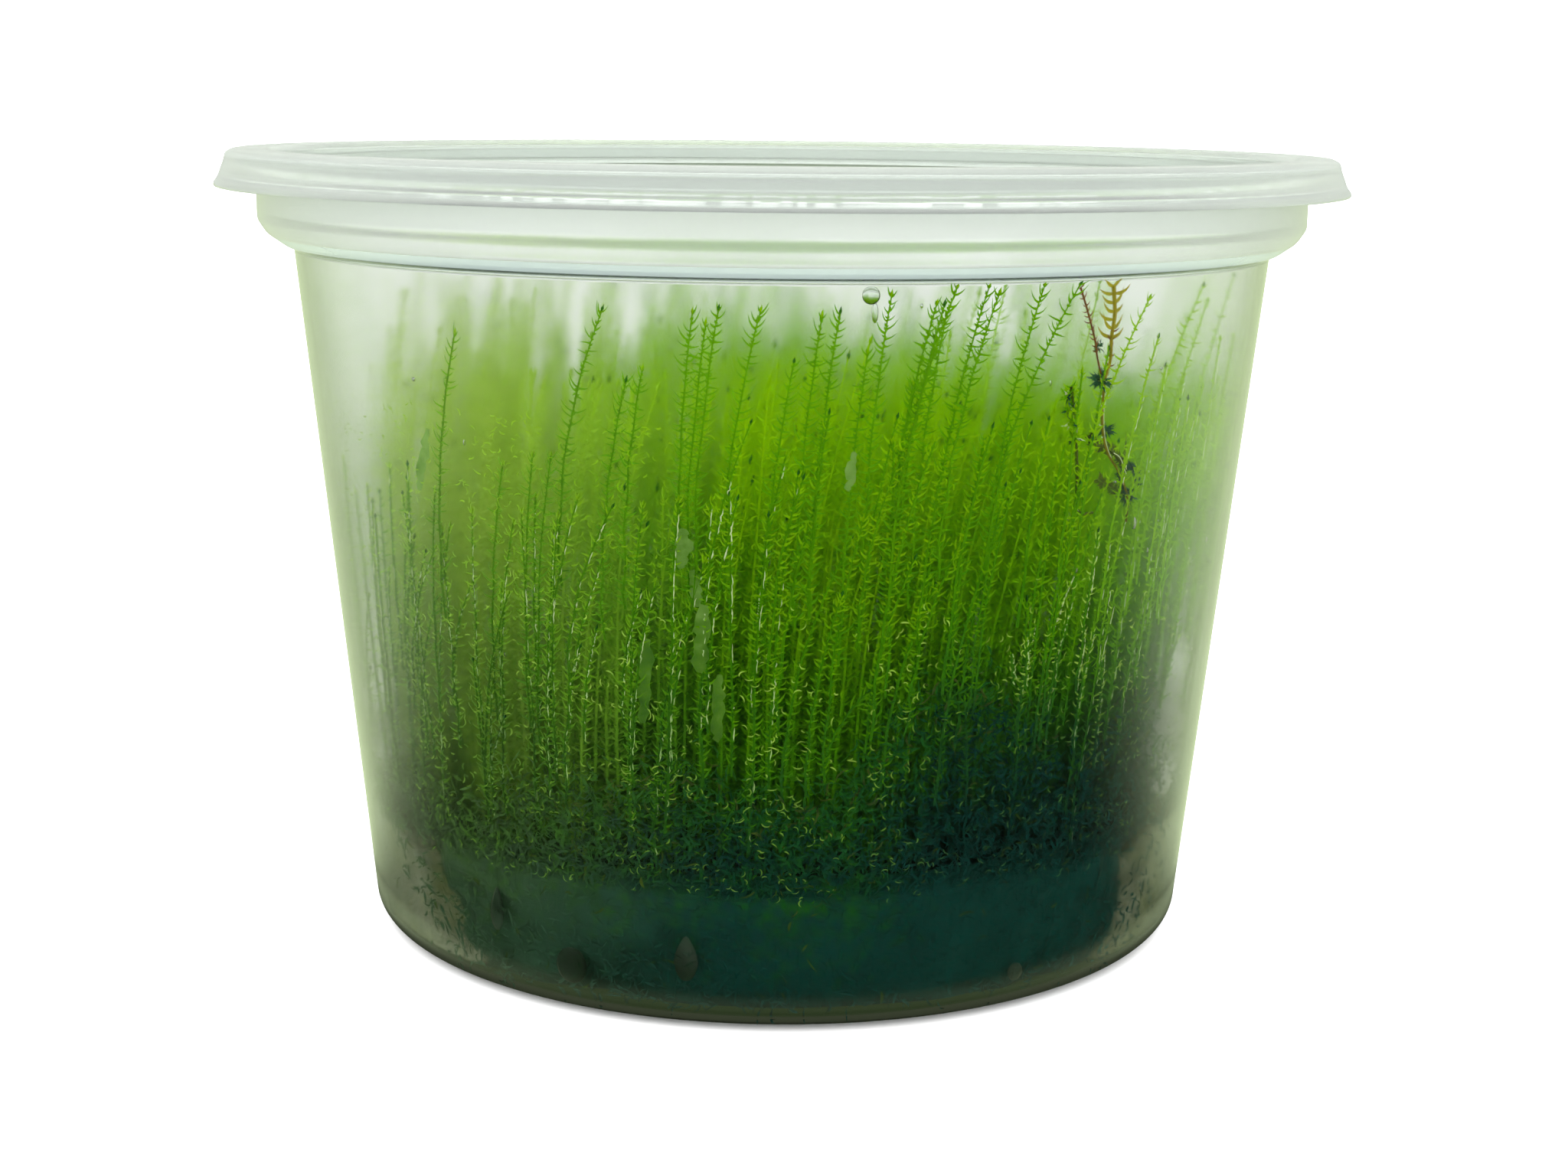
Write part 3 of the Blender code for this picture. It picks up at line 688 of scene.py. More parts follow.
def ribbons(paths, width, profile, tilt=0.0):
    """Flat strips along paths (n, steps, 3) that face the wall, or lean by tilt. width is (n,)."""
    way = unit(np.gradient(paths, axis=1))
    normal = outward_of(paths)
    across = np.cross(way, normal)
    across = unit(across * np.cos(tilt) + normal * np.sin(tilt))
    half = np.asarray(width).reshape(-1, 1, 1) * np.asarray(profile).reshape(1, -1, 1) / 2
    points = np.stack([paths - across * half, paths + across * half], axis=2)
    count, steps = paths.shape[:2]
    index = np.arange(count * steps * 2).reshape(count, steps, 2)
    a, b = index[:, :-1, 0], index[:, :-1, 1]
    c, d = index[:, 1:, 1], index[:, 1:, 0]
    faces = np.concatenate([np.stack([a, b, c], axis=-1).reshape(-1, 3), np.stack([a, c, d], axis=-1).reshape(-1, 3)])
    return points.reshape(-1, 3), faces


def strands(angle, height, inset, length, heading, curl, steps=5):
    """Curved lines on the wall from (angle, height), inset from it. heading is 0 to the right, and curl turns it."""
    count = len(angle)
    paths = np.zeros((count, steps, 3))
    step = length / (steps - 1)
    for i in range(steps):
        radius = inner_wall_radius(height) - inset
        paths[:, i] = np.stack([radius * np.cos(angle), radius * np.sin(angle), height], axis=1)
        angle = angle + step * np.cos(heading) / radius
        height = height + step * np.sin(heading)
        heading = heading + curl
    return paths


def tangle_top(angle):
    """How high the old dark tangle reaches up the wall, with a hump at the front right."""
    waves = 2.2 * np.sin(3.0 * angle + 0.6) + 1.6 * np.sin(7.0 * angle + 2.0) + 1.0 * np.sin(17.0 * angle)
    top = 17.0 + waves
    for middle_deg, spread_deg, rise in TANGLE_HUMPS:
        away = np.degrees(np.abs((angle - math.radians(middle_deg) + math.pi) % math.tau - math.pi))
        top = top + rise * np.exp(-(away / spread_deg) ** 2)
    return top * MM


def open_gel(angle, height, soft=7.0):
    """1 where the mat leaves the wall clear, low at the left and right and narrower higher up."""
    share = np.zeros_like(angle)
    for middle_deg, _, half_width in MAT_CUTS:
        away = np.degrees(np.abs((angle - math.radians(middle_deg) + math.pi) % math.tau - math.pi))
        limit = half_width * (1.0 - height / OPEN_TOP_Z)
        share = np.maximum(share, smooth_step((limit - away) / soft + 0.5))
    return share


def add_tangle(batch, count, start, end, low, slots, rng):
    """Short old strands, matted against the wall from the height low up. They thin out towards the tangle's top."""
    angle = rng.uniform(start, end, count)
    top = tangle_top(angle) + rng.normal(0.0, 1.5, count) * MM
    share = rng.uniform(0.0, 1.0, count) ** 1.3
    height = low + (top + 4.0 * MM - low) * share
    border = open_gel(angle, height, 20.0)
    keep = (top > low) & (rng.uniform(size=count) > border * 0.92)
    angle, height, share, border = angle[keep], height[keep], share[keep], border[keep]
    count = len(angle)
    inset = np.where(border > 0.03, rng.uniform(0.14, 0.38, count), rng.uniform(0.3, 2.2, count)) * MM
    length = rng.uniform(0.7, 1.9, count) * MM
    heading = rng.uniform(0.0, math.tau, count)
    paths = strands(angle, height, inset, length, heading, rng.normal(0.0, 0.5, count), steps=4)
    points, faces = ribbons(paths, rng.uniform(0.10, 0.30, count) * MM, (0.3, 1.0, 0.9, 0.2), 0.4)
    points = keep_inside(points, 0.12 * MM).reshape(count, -1)
    brown = 0.03 + 0.10 * smooth_step((share - 0.5) / 0.5)
    add_split(batch, points, faces, (rng.uniform(size=count) < brown).astype(int), slots)


def add_split(batch, points, faces, pick, slots):
    """Adds equal shapes, one to a row of points, with the slot that each row picks."""
    count = len(points)
    per_shape = points.shape[1] // 3
    shape = faces.reshape(-1, 3)
    owner = shape[:, 0] // per_shape
    pattern = shape[owner == 0]
    for choice, slot in enumerate(slots):
        chosen = points[pick == choice]
        if len(chosen):
            index = pattern[None] + (np.arange(len(chosen)) * per_shape)[:, None, None]
            batch.add(chosen, index, slot)


def add_gel_bits(batch, count, slots, rng):
    """Brown threads and pale leaf bits that float in the open gel at the left and right."""
    middle = np.radians(rng.choice([row[0] for row in MAT_CUTS], count))
    angle = middle + np.radians(rng.normal(0.0, 26.0, count))
    height = rng.uniform(1.6, 11.0, count) * MM
    keep = rng.uniform(size=count) < open_gel(angle, height)
    angle, height = angle[keep], height[keep]
    count = len(angle)
    inset = rng.uniform(0.5, 3.5, count) * MM
    length = rng.uniform(0.5, 2.4, count) * MM
    paths = strands(angle, height, inset, length, rng.normal(1.5, 0.8, count), rng.normal(0.0, 0.3, count))
    points, faces = ribbons(paths, rng.uniform(0.06, 0.22, count) * MM, (0.3, 1.0, 0.9, 0.7, 0.2), 0.3)
    points = keep_inside(points, 0.2 * MM).reshape(count, -1)
    add_split(batch, points, faces, rng.integers(0, 2, count), slots)


# Moss shoots

def stem_mesh(paths, radius, tip_share=0.5):
    """Three-sided stems along the paths, thinner towards the tip."""
    count, samples, _ = paths.shape
    angles = np.arange(STEM_SIDES) * math.tau / STEM_SIDES
    taper = np.linspace(1.0, tip_share, samples)[None, :, None]
    ring = np.stack([np.cos(angles), np.sin(angles), np.zeros(STEM_SIDES)], axis=1)
    radius = np.broadcast_to(np.asarray(radius), (count,))[:, None, None]
    points = paths[:, :, None, :] + ring[None, None] * (radius * taper)[..., None]
    index = np.arange(count * samples * STEM_SIDES).reshape(count, samples, STEM_SIDES)
    low, high = index[:, :-1], index[:, 1:]
    low_next, high_next = np.roll(low, -1, axis=2), np.roll(high, -1, axis=2)
    first = np.stack([low, low_next, high_next], axis=-1).reshape(-1, 3)
    second = np.stack([low, high_next, high], axis=-1).reshape(-1, 3)
    return points.reshape(-1, 3), np.concatenate([first, second])


def points_along(paths, share):
    """Points at shares (shoots, n) of each path, and the path's direction there."""
    samples = paths.shape[1]
    place = np.clip(share, 0.0, 1.0) * (samples - 1)
    low = np.minimum(place.astype(int), samples - 2)
    rest = (place - low)[..., None]
    rows = np.arange(len(paths))[:, None]
    start, end = paths[rows, low], paths[rows, low + 1]
    way = end - start
    return start + way * rest, unit(way)


def leaf_mesh(base, along, azimuth, length, width, opening):
    """Pointed leaves that curve up at the tip. opening is the angle from the stem."""
    around = np.stack([np.cos(azimuth), np.sin(azimuth), np.zeros_like(azimuth)], axis=1)
    around = unit(around - along * np.sum(around * along, axis=1, keepdims=True))
    out = around * np.sin(opening)[:, None] + along * np.cos(opening)[:, None]
    side = np.cross(along, around)
    upper = np.cross(side, out)
    size = length[:, None]
    wide = np.broadcast_to(np.asarray(width), length.shape)[:, None] / 2
    middle = base + out * size * 0.38
    fold = upper * size * 0.05
    tip = base + out * size * 0.95 + along * size * 0.18
    points = np.stack([base, middle - side * wide + fold, middle + side * wide + fold, tip], axis=1)
    first = np.arange(len(base))[:, None] * 4
    faces = np.concatenate([first + np.array([[0, 1, 3]]), first + np.array([[0, 3, 2]])])
    return points.reshape(-1, 3), faces


def spindle_mesh(centres, ways, length, radius):
    """Pointed four-sided buds along ways."""
    count = len(centres)
    helper = np.tile(np.array([[1.0, 0.0, 0.0]]), (count, 1))
    side = unit(np.cross(ways, helper))
    other = np.cross(ways, side)
    length = np.broadcast_to(np.asarray(length), (count,))[:, None]
    radius = np.broadcast_to(np.asarray(radius), (count,))[:, None]
    low = centres - ways * length * 0.6
    middle = centres - ways * length * 0.1
    end = centres + ways * length * 0.4
    ring = [middle + side * radius, middle + other * radius, middle - side * radius, middle - other * radius]
    points = np.stack([low, *ring, end], axis=1)
    return points.reshape(-1, 3), spindle_faces(count)


def add_leaves(batch, paths, length, first_share, pitch, leaf_length, leaf_width, slot, rng, flat=0.0):
    """Leaves in pairs up each shoot. flat turns them along the wall, to the left and right."""
    most = int(np.ceil(np.max(length * (1.0 - first_share)) / pitch))
    step = (np.arange(most)[None, :] + rng.uniform(-0.3, 0.3, (len(paths), most))) * (pitch / length)[:, None]
    share = 1.0 - np.maximum(step, 0.0)
    keep = share > first_share[:, None]
    base, along = points_along(paths, share)
    start = rng.uniform(0.0, math.tau, len(paths))[:, None]
    spiral = start + np.arange(most)[None, :] * GOLDEN_ANGLE
    outward = np.arctan2(base[..., 1], base[..., 0])
    below_tip = np.minimum(step * length[:, None] / (3.5 * MM), 1.0)
    opening = np.radians(22.0 + 50.0 * below_tip) + rng.normal(0.0, 0.16, step.shape)
    size = leaf_length * (0.45 + 0.55 * below_tip) * rng.uniform(0.7, 1.25, step.shape)
    for k in range(LEAVES_PER_NODE):
        turn = spiral + k * math.tau / LEAVES_PER_NODE + rng.normal(0.0, 0.25, step.shape)
        if flat:
            turn = outward + math.pi * (k + 0.5) + rng.normal(0.0, 0.5, step.shape)
        points, faces = leaf_mesh(base[keep], along[keep], turn[keep], size[keep], leaf_width, opening[keep])
        batch.add(keep_inside(points, WALL_TOUCH), faces, slot)


def spindle_faces(count):
    """The eight faces of each of count buds."""
    first = np.arange(count)[:, None] * 6
    faces = []
    for i in range(4):
        j = (i + 1) % 4
        faces.append(first + np.array([[0, 1 + j, 1 + i]]))
        faces.append(first + np.array([[5, 1 + i, 1 + j]]))
    return np.concatenate(faces)


def stand_paths(foot_x, foot_y, tip_z, rng, samples):
    """Centre lines (shoots, samples, 3): up from the mat, out with the wall, leaning to the right at the top."""
    count = len(foot_x)
    t = np.linspace(0.0, 1.0, samples)[None, :]
    z = (MAT_TOP_Z - FOOT_SINK) + (tip_z[:, None] - MAT_TOP_Z + FOOT_SINK) * t
    factor = inner_wall_radius(z) / inner_wall_radius(MAT_TOP_Z)
    lean_x = rng.normal(3.6 * MM, 1.6 * MM, count)
    lean_y = rng.normal(0.0, 1.3 * MM, count)
    bend = rng.uniform(2.0, 3.6, count)[:, None]
    wave = rng.uniform(0.1, 0.45, count)[:, None] * MM
    turns = rng.uniform(0.8, 2.4, count)[:, None]
    phase = rng.uniform(0.0, math.tau, (count, 2))
    x = (foot_x[:, None] - 0.8 * MM) * factor + lean_x[:, None] * t ** bend
    y = foot_y[:, None] * factor + lean_y[:, None] * t ** bend
    x = x + wave * np.sin(math.tau * turns * t + phase[:, :1]) * t
    y = y + wave * np.sin(math.tau * turns * t + phase[:, 1:]) * t
    return np.stack([x, y, z], axis=2)


def add_stand(batch, foot_x, foot_y, tip_z, leafy_from_z, rng):
    """The dense stand of shoots, with leaves from leafy_from_z up."""
    paths = keep_inside(stand_paths(foot_x, foot_y, tip_z, rng, 12), WALL_TOUCH + STEM_R)
    length = tip_z - MAT_TOP_Z + FOOT_SINK
    batch.add(*stem_mesh(paths, STEM_R), 0)
    first_share = np.clip((leafy_from_z - MAT_TOP_Z + FOOT_SINK) / length, 0.0, 0.9)
    add_leaves(batch, paths, length, first_share, LEAF_PITCH, LEAF_LENGTH, LEAF_WIDTH, 1, rng)
    tip, way = points_along(paths, np.full((len(paths), 1), 1.0))
    points, faces = spindle_mesh(tip[:, 0], way[:, 0], BUD_LENGTH * rng.uniform(0.6, 1.2, len(paths)), BUD_R)
    points = keep_inside(points, WALL_TOUCH).reshape(len(paths), -1)
    add_split(batch, points, faces, (rng.uniform(size=len(paths)) > 0.2).astype(int), (2, 1))


def wall_paths(tip_angle, tip_z, lean, length, rng, samples=16):
    """Centre lines of shoots that stand against the wall. lean is how far the tip has moved round, in radians."""
    count = len(tip_z)
    t = np.linspace(0.0, 1.0, samples)[None, :]
    z = tip_z[:, None] - length[:, None] * (1.0 - t)
    z = np.maximum(z, 11.0 * MM)
    turns = rng.uniform(1.5, 5.0, count)[:, None]
    phase = rng.uniform(0.0, math.tau, count)[:, None]
    wave = np.radians(0.3) * rng.uniform(0.3, 1.0, count)[:, None] * np.sin(math.tau * turns * t + phase)
    angle = tip_angle[:, None] - lean[:, None] * (1.0 - t ** 2) + wave * (1.0 - t)
    inset = WALL_STEM_R + WALL_TOUCH + rng.uniform(0.0, 0.8, count)[:, None] * MM
    radius = inner_wall_radius(z) - inset
    return np.stack([radius * np.cos(angle), radius * np.sin(angle), z], axis=2)


def add_barbs(batch, paths, length, pitch, barb, width, profile, slot, rng):
    """Thin barbs to the left and right of each shoot, curved up at their ends."""
    for sign in (-1.0, 1.0):
        most = int(np.ceil(np.max(length) / pitch))
        step = (np.arange(most)[None, :] + rng.uniform(-0.35, 0.35, (len(paths), most))) * (pitch / length)[:, None]
        share = 1.0 - np.maximum(step, 0.0) - 0.3 * MM / length[:, None]
        keep = (share > 0.02) & (rng.uniform(size=share.shape) > 0.12)
        base, along = points_along(paths, share)
        near_tip = np.minimum(step * length[:, None] / (3.0 * MM), 1.0)[keep]
        base, along = base[keep], along[keep]
        count = len(base)
        side = unit(np.cross(along, outward_of(base))) * sign
        side = unit(side + outward_of(base) * rng.normal(0.0, 0.4, (count, 1)))
        size = (barb * (0.5 + 0.5 * near_tip) * rng.uniform(0.6, 1.25, count))[:, None, None]
        t = np.linspace(0.0, 1.0, len(profile))[None, :, None]
        lift = rng.normal(0.35, 0.25, (count, 1, 1)) + (1.0 - near_tip)[:, None, None] * 0.7
        line = base[:, None] + size * (side[:, None] * (t - 0.15 * t ** 2) + along[:, None] * lift * (0.3 * t + t ** 2))
        points, faces = ribbons(line, width * rng.uniform(0.7, 1.2, count), profile)
        batch.add(keep_inside(points, 0.08 * MM), faces, slot)


def add_barbed(batch, paths, length, radius, barb, slot, rng, stem_slot=3):
    """Stems with close-pressed scale leaves and thin curved barbs to both sides, and a dark bud on some tips."""
    count = len(paths)
    batch.add(*stem_mesh(paths, radius, 0.6), stem_slot)
    add_barbs(batch, paths, length, 0.50 * MM, 0.34 * MM, 0.20 * MM, (1.2, 0.9, 0.1), stem_slot, rng)
    add_barbs(batch, paths, length, 0.75 * MM, barb, 0.17 * MM, (1.3, 1.0, 0.7, 0.15), slot, rng)
    tip, way = points_along(paths, np.full((count, 1), 1.0))
    points, faces = spindle_mesh(tip[:, 0], way[:, 0], rng.uniform(0.6, 1.1, count) * MM, 0.14 * MM)
    points = keep_inside(points, WALL_TOUCH).reshape(count, -1)
    add_split(batch, points, faces, (rng.uniform(size=count) > 0.45).astype(int), (2, 4))


def sector_shoots(start, end):
    """The rows of TALL_SHOOTS and WET_SHOOTS that stand in a sector."""
    def inside(row):
        return start <= (math.radians(row[0]) - start) % math.tau + start < end
    return [row for row in TALL_SHOOTS if inside(row)], [row for row in WET_SHOOTS if inside(row)]


def add_wall_shoots(batch, start, end, rng):
    """Shoots pressed to the wall. At the left they are shorter and wetter, at the right they reach higher."""
    front = math.sin((start + end) / 2) < 0.3
    count = 29 if front else 16
    places = start + (end - start) * (np.arange(count) + rng.uniform(0.1, 0.9, count)) / count
    left = smooth_step((-np.cos(places) + 0.15) / 0.5)
    tip_z = (66.5 - 13.0 * left) * MM - rng.gamma(2.5, 5.5 - 1.5 * left, count) * MM
    tip_z = np.maximum(tip_z, 26.0 * MM)
    length = np.minimum(tip_z - rng.uniform(15.0, 30.0, count) * MM, rng.uniform(18.0, 34.0, count) * MM)
    length = np.maximum(length, 8.0 * MM)
    lean = np.radians(rng.normal(3.0, 1.8, count))
    paths = wall_paths(places, tip_z, lean, length, rng)
    radius = WALL_STEM_R * rng.uniform(0.8, 1.4, count)
    pale = np.cos(places) > 0.64
    for chosen, stem_slot in ((pale, 4), (~pale, 3)):
        if chosen.any():
            add_barbed(batch, paths[chosen], length[chosen], radius[chosen], 0.9 * MM, 4, rng, stem_slot)
    add_film_highlights(batch, paths[(left > 0.1) | pale], rng, 0.15)
    tall, wet = sector_shoots(start, end)
    if math.sin((start + end) / 2) > -0.3:
        tall = tall + [(math.degrees(rng.uniform(start, end)), rng.uniform(62.0, 70.5), 5.0) for _ in range(5)]
    angle, height, lean = np.array(tall).T
    length = rng.uniform(22.0, 30.0, len(tall)) * MM
    paths = wall_paths(np.radians(angle), height * MM, np.radians(lean), length, rng)
    pale = np.cos(np.radians(angle)) > 0.66
    for chosen, slot in ((pale, 4), (~pale, 3)):
        if chosen.any():
            add_barbed(batch, paths[chosen], length[chosen], WALL_STEM_R, 1.2 * MM, slot, rng, slot)
    if wet:
        angle, height, foot_angle, foot = np.array(wet).T
        length = (height - foot) * MM
        paths = wall_paths(np.radians(angle), height * MM, np.radians(angle - foot_angle), length, rng)
        # Their barbs take the bright glint colour, a painted highlight
        add_barbed(batch, paths, length, np.full(len(wet), WALL_STEM_R), 0.8 * MM, 6, rng)
        for _ in range(2):
            add_film_highlights(batch, paths, rng, 0.0)


def add_film_highlights(batch, paths, rng, dry):
    """Broken lines of water where a shoot touches the wall, on its right side, coloured bright as a painted highlight.
    dry is left without.
    """
    for path in paths:
        if rng.uniform() < dry:
            continue
        count = int(rng.integers(10, 24))
        share = np.sort(rng.uniform(0.0, 0.95, count))[:, None] + np.linspace(0.0, 1.0, 4) * rng.uniform(0.008, 0.05, (count, 1))
        spots, way = points_along(np.repeat(path[None], count, axis=0), share)
        outward = outward_of(spots)
        right = np.cross(way, outward)
        wobble = rng.normal(0.0, 0.04 * MM, (count, 4, 1))
        line = spots + right * (WALL_STEM_R * 1.3 + wobble) + outward * 0.15 * MM
        points, faces = ribbons(line, rng.uniform(0.06, 0.11, count) * MM, (0.3, 1.0, 0.9, 0.2))
        batch.add(keep_inside(points, 0.08 * MM), faces, 5)


def add_smears(batch, start, end, rng):
    """Upright damp smears with ragged edges, where the shoots stand off the wall."""
    for angle, height, foot_angle, foot, width in SMEARS:
        if start <= (math.radians(angle) - start) % math.tau + start < end:
            share = np.linspace(0.0, 1.0, 14)
            turn = np.radians(angle + (foot_angle - angle) * share + rng.normal(0.0, 0.12, 14))
            z = (height + (foot - height) * share) * MM
            radius = inner_wall_radius(z) - 0.3 * MM
            line = np.stack([radius * np.cos(turn), radius * np.sin(turn), z], axis=1)
            profile = np.sin(math.pi * (0.06 + 0.88 * share)) ** 0.5 * rng.uniform(0.65, 1.15, 14)
            points, faces = ribbons(line[None], np.array([width * MM]), profile)
            batch.add(keep_inside(points, 0.2 * MM), faces, 9)


def add_curls(batch, start, end, rng):
    """Loose leaves curled every way against the wall, in patches. The lower ones more often take the bright glint
    colour, a painted highlight.
    """
    count = 1500 if math.sin((start + end) / 2) < 0.3 else 600
    angle = rng.uniform(start, end, count)
    height = rng.uniform(13.0, 58.0, count) * MM
    patches = np.sin(angle * 23.0 + np.sin(height * 400.0)) + np.sin(height * 900.0 + angle * 11.0)
    keep = patches > rng.uniform(-1.6, 1.3, count)
    angle, height = angle[keep], height[keep]
    count = len(angle)
    heading = rng.normal(0.0, 0.8, count) + math.pi * rng.integers(0, 2, count)
    curl = rng.uniform(0.2, 0.7, count) * rng.choice([-1.0, 1.0], count)
    paths = strands(angle, height, rng.uniform(0.1, 0.7, count) * MM, rng.uniform(0.4, 1.0, count) * MM, heading, curl)
    points, faces = ribbons(paths, rng.uniform(0.065, 0.135, count) * MM, (0.4, 1.0, 1.0, 0.7, 0.1))
    points = keep_inside(points, 0.08 * MM).reshape(count, -1)
    # Painted highlight: these curls take the bright glint colour
    pale = rng.uniform(size=count) < 0.65 * smooth_step((46.0 * MM - height) / (16.0 * MM))
    add_split(batch, points, faces, pale.astype(int), (4, 6))


def tuft_feet(inner_r, outer_r, start, end, spacing, rng):
    """Feet spread evenly but not in rows over a ring sector."""
    area = (end - start) / 2 * (outer_r ** 2 - inner_r ** 2)
    count = max(4, int(area / spacing ** 2))
    # A low-discrepancy pair of sequences keeps the feet apart without a grid
    k = np.arange(count)
    u = (k * 0.7548776662 + rng.uniform()) % 1.0
    v = (k * 0.5698402910 + rng.uniform()) % 1.0
    radius = np.sqrt(inner_r ** 2 + (outer_r ** 2 - inner_r ** 2) * u)
    angle = start + (end - start) * v
    return thinned(*wander(radius, angle), rng)


def tip_heights(x, y, rng):
    """Most shoots end at the stand's even top. Fewer reach the canopy, and at the left they end at any height."""
    left = smooth_step((-x / BASE_R + 0.2) / 0.8)
    factor = SHOULDER_R / BASE_R
    canopy = canopy_height(x * factor, y * factor)
    count = len(x)
    right = smooth_step((x / BASE_R - 0.1) / 0.6)
    stand = np.minimum(canopy, STAND_TOP_Z - 2.0 * MM * right) - rng.gamma(1.5, 1.0, count) * 2.8 * MM
    tall = rng.uniform(size=count) < 0.11 + 0.36 * left
    reach = STAND_TOP_Z + rng.uniform(-0.5, 1.0, count) * (canopy + 5.0 * MM * (1.0 + left) - STAND_TOP_Z)
    return np.clip(np.where(tall, reach, stand), 24.0 * MM, TALLEST_Z)


def thinned(x, y, rng):
    """Leaves out part of the feet at the left, where light shows through."""
    left = smooth_step((-x / BASE_R + 0.2) / 0.8)
    keep = rng.uniform(size=len(x)) > 0.35 * left
    return x[keep], y[keep]


MOSS_LOOKS = (stem_look, leaf_look, bud_look, wall_stem_look, wall_leaf_look, film_highlight_look, glint_look, mat_look,
              thread_look, smear_look)


def build_tufts():
    """One piece for each tuft. The outer ones also hold the shoots along the wall."""
    wall_r = float(inner_wall_radius(MAT_TOP_Z)) - WALL_GAP
    rng = np.random.default_rng(5)
    batch = Batch()
    x, y = tuft_feet(0.0, CENTRE_R, 0.0, math.tau, 2.0 * MM, rng)
    add_stand(batch, x, y, tip_heights(x, y, rng), np.full(len(x), 40.0 * MM), rng)
    finish_piece(batch.make("shoots_centre", MOSS_LOOKS), "green_moss", "tuft_centre")
    for k, place in enumerate(INNER_TUFTS):
        sector = math.tau / len(INNER_TUFTS)
        batch = Batch()
        x, y = tuft_feet(CENTRE_R, INNER_RING_R, sector * (k - 0.5), sector * (k + 0.5), 1.9 * MM, rng)
        add_stand(batch, x, y, tip_heights(x, y, rng), np.full(len(x), 36.0 * MM), rng)
        finish_piece(batch.make(f"shoots_inner_{place}", MOSS_LOOKS), "green_moss", f"tuft_inner_{place}")
    for k, place in enumerate(OUTER_TUFTS):
        sector = math.tau / len(OUTER_TUFTS)
        start, end = sector * (k - 0.5), sector * (k + 0.5)
        batch = Batch()
        x, y = tuft_feet(INNER_RING_R, wall_r, start, end, 1.55 * MM, rng)
        depth = smooth_step((wall_r - np.hypot(x, y)) / (11.0 * MM))
        add_stand(batch, x, y, tip_heights(x, y, rng), (15.0 + depth * 21.0) * MM, rng)
        add_wall_shoots(batch, start, end, rng)
        add_tangle(batch, 1900, start, end, MAT_TOP_Z, (7, 8), rng)
        add_curls(batch, start, end, rng)
        add_smears(batch, start, end, rng)
        finish_piece(batch.make(f"shoots_outer_{place}", MOSS_LOOKS), "green_moss", f"tuft_outer_{place}")


# Old stems at the right

def smooth_route(route, inset, steps=8):
    """A smooth line through (degrees, mm) points near the wall."""
    points = [on_wall(angle, height * MM, inset) for angle, height in route]
    points = [2 * points[0] - points[1]] + points + [2 * points[-1] - points[-2]]
    line = []
    for a, b, c, d in zip(points, points[1:], points[2:], points[3:]):
        for i in range(steps):
            t = i / steps
            line.append(0.5 * (2 * b + (c - a) * t + (2 * a - 5 * b + 4 * c - d) * t ** 2
                               + (3 * b - a - 3 * c + d) * t ** 3))
    line.append(points[-2])
    return np.array(line)


def tube_mesh(path, radius, sides=6):
    """A round stem along one path, with a radius for each point."""
    way = unit(np.gradient(path, axis=0))
    outward = unit(path * np.array([1.0, 1.0, 0.0]))
    side = unit(np.cross(way, outward))
    up = np.cross(side, way)
    angles = np.arange(sides) * math.tau / sides
    radius = np.broadcast_to(np.asarray(radius), (len(path),))[:, None, None]
    ring = side[:, None] * np.cos(angles)[None, :, None] + up[:, None] * np.sin(angles)[None, :, None]
    points = path[:, None] + ring * radius
    index = np.arange(len(path) * sides).reshape(len(path), sides)
    low, high = index[:-1], index[1:]
    low_next, high_next = np.roll(low, -1, axis=1), np.roll(high, -1, axis=1)
    faces = [np.stack([low, high, high_next], axis=-1).reshape(-1, 3)]
    faces.append(np.stack([low, high_next, low_next], axis=-1).reshape(-1, 3))
    for ring_index, flip in ((index[0], False), (index[-1], True)):
        for i in range(1, sides - 1):
            corner = [ring_index[0], ring_index[i], ring_index[i + 1]]
            faces.append(np.array([corner[::-1] if flip else corner]))
    return points.reshape(-1, 3), np.concatenate(faces)


def curved_leaf(base, way, out, length, width, batch, slot, tilt=0.2):
    """One larger leaf: leaves the stem along out and curves up along way."""
    t = np.linspace(0.0, 1.0, 6)[:, None]
    path = base + out * length * (t - 0.25 * t ** 2) + way * length * 0.75 * t ** 2
    points, faces = ribbons(path[None], np.array([width]), (0.5, 1.0, 0.95, 0.7, 0.4, 0.06), tilt)
    batch.add(keep_inside(points, 0.05 * MM), faces, slot)


def add_big_leaves(batch, path, pitch, length, width, slot, rng, share_from=0.0, share_to=1.0):
    """Pairs of upcurved leaves to the left and right of a stem that runs downward."""
    steps = np.concatenate([[0.0], np.cumsum(np.linalg.norm(np.diff(path, axis=0), axis=1))])
    place = steps[-1] * share_from
    while place < steps[-1] * share_to:
        base = np.array([np.interp(place, steps, path[:, k]) for k in range(3)])
        nearest = min(int(np.searchsorted(steps, place)), len(path) - 2)
        way = unit(path[nearest] - path[nearest + 1])
        outward = unit(base * np.array([1.0, 1.0, 0.0]))
        right = unit(np.cross(way, outward)) * -1.0
        for sign in (-1.0, 1.0):
            out = unit(right * sign + outward * rng.normal(0.0, 0.35) - way * rng.uniform(-0.15, 0.2))
            size = length * rng.uniform(0.75, 1.2)
            curved_leaf(base, way * rng.uniform(0.5, 1.0), out, size, width, batch, slot)
            place += pitch * rng.uniform(0.35, 0.65)


def add_clump(batch, centre, radius, count, slot, rng):
    """A tight ball of short dark leaves round a stem."""
    for _ in range(count):
        way = unit(rng.normal(size=3))
        out = unit(np.cross(way, rng.normal(size=3)))
        base = centre + way * radius * rng.uniform(0.2, 0.8)
        size = radius * rng.uniform(0.8, 1.4)
        curved_leaf(base, way, out, size, radius * 0.45, batch, slot, rng.uniform(0.0, math.pi))


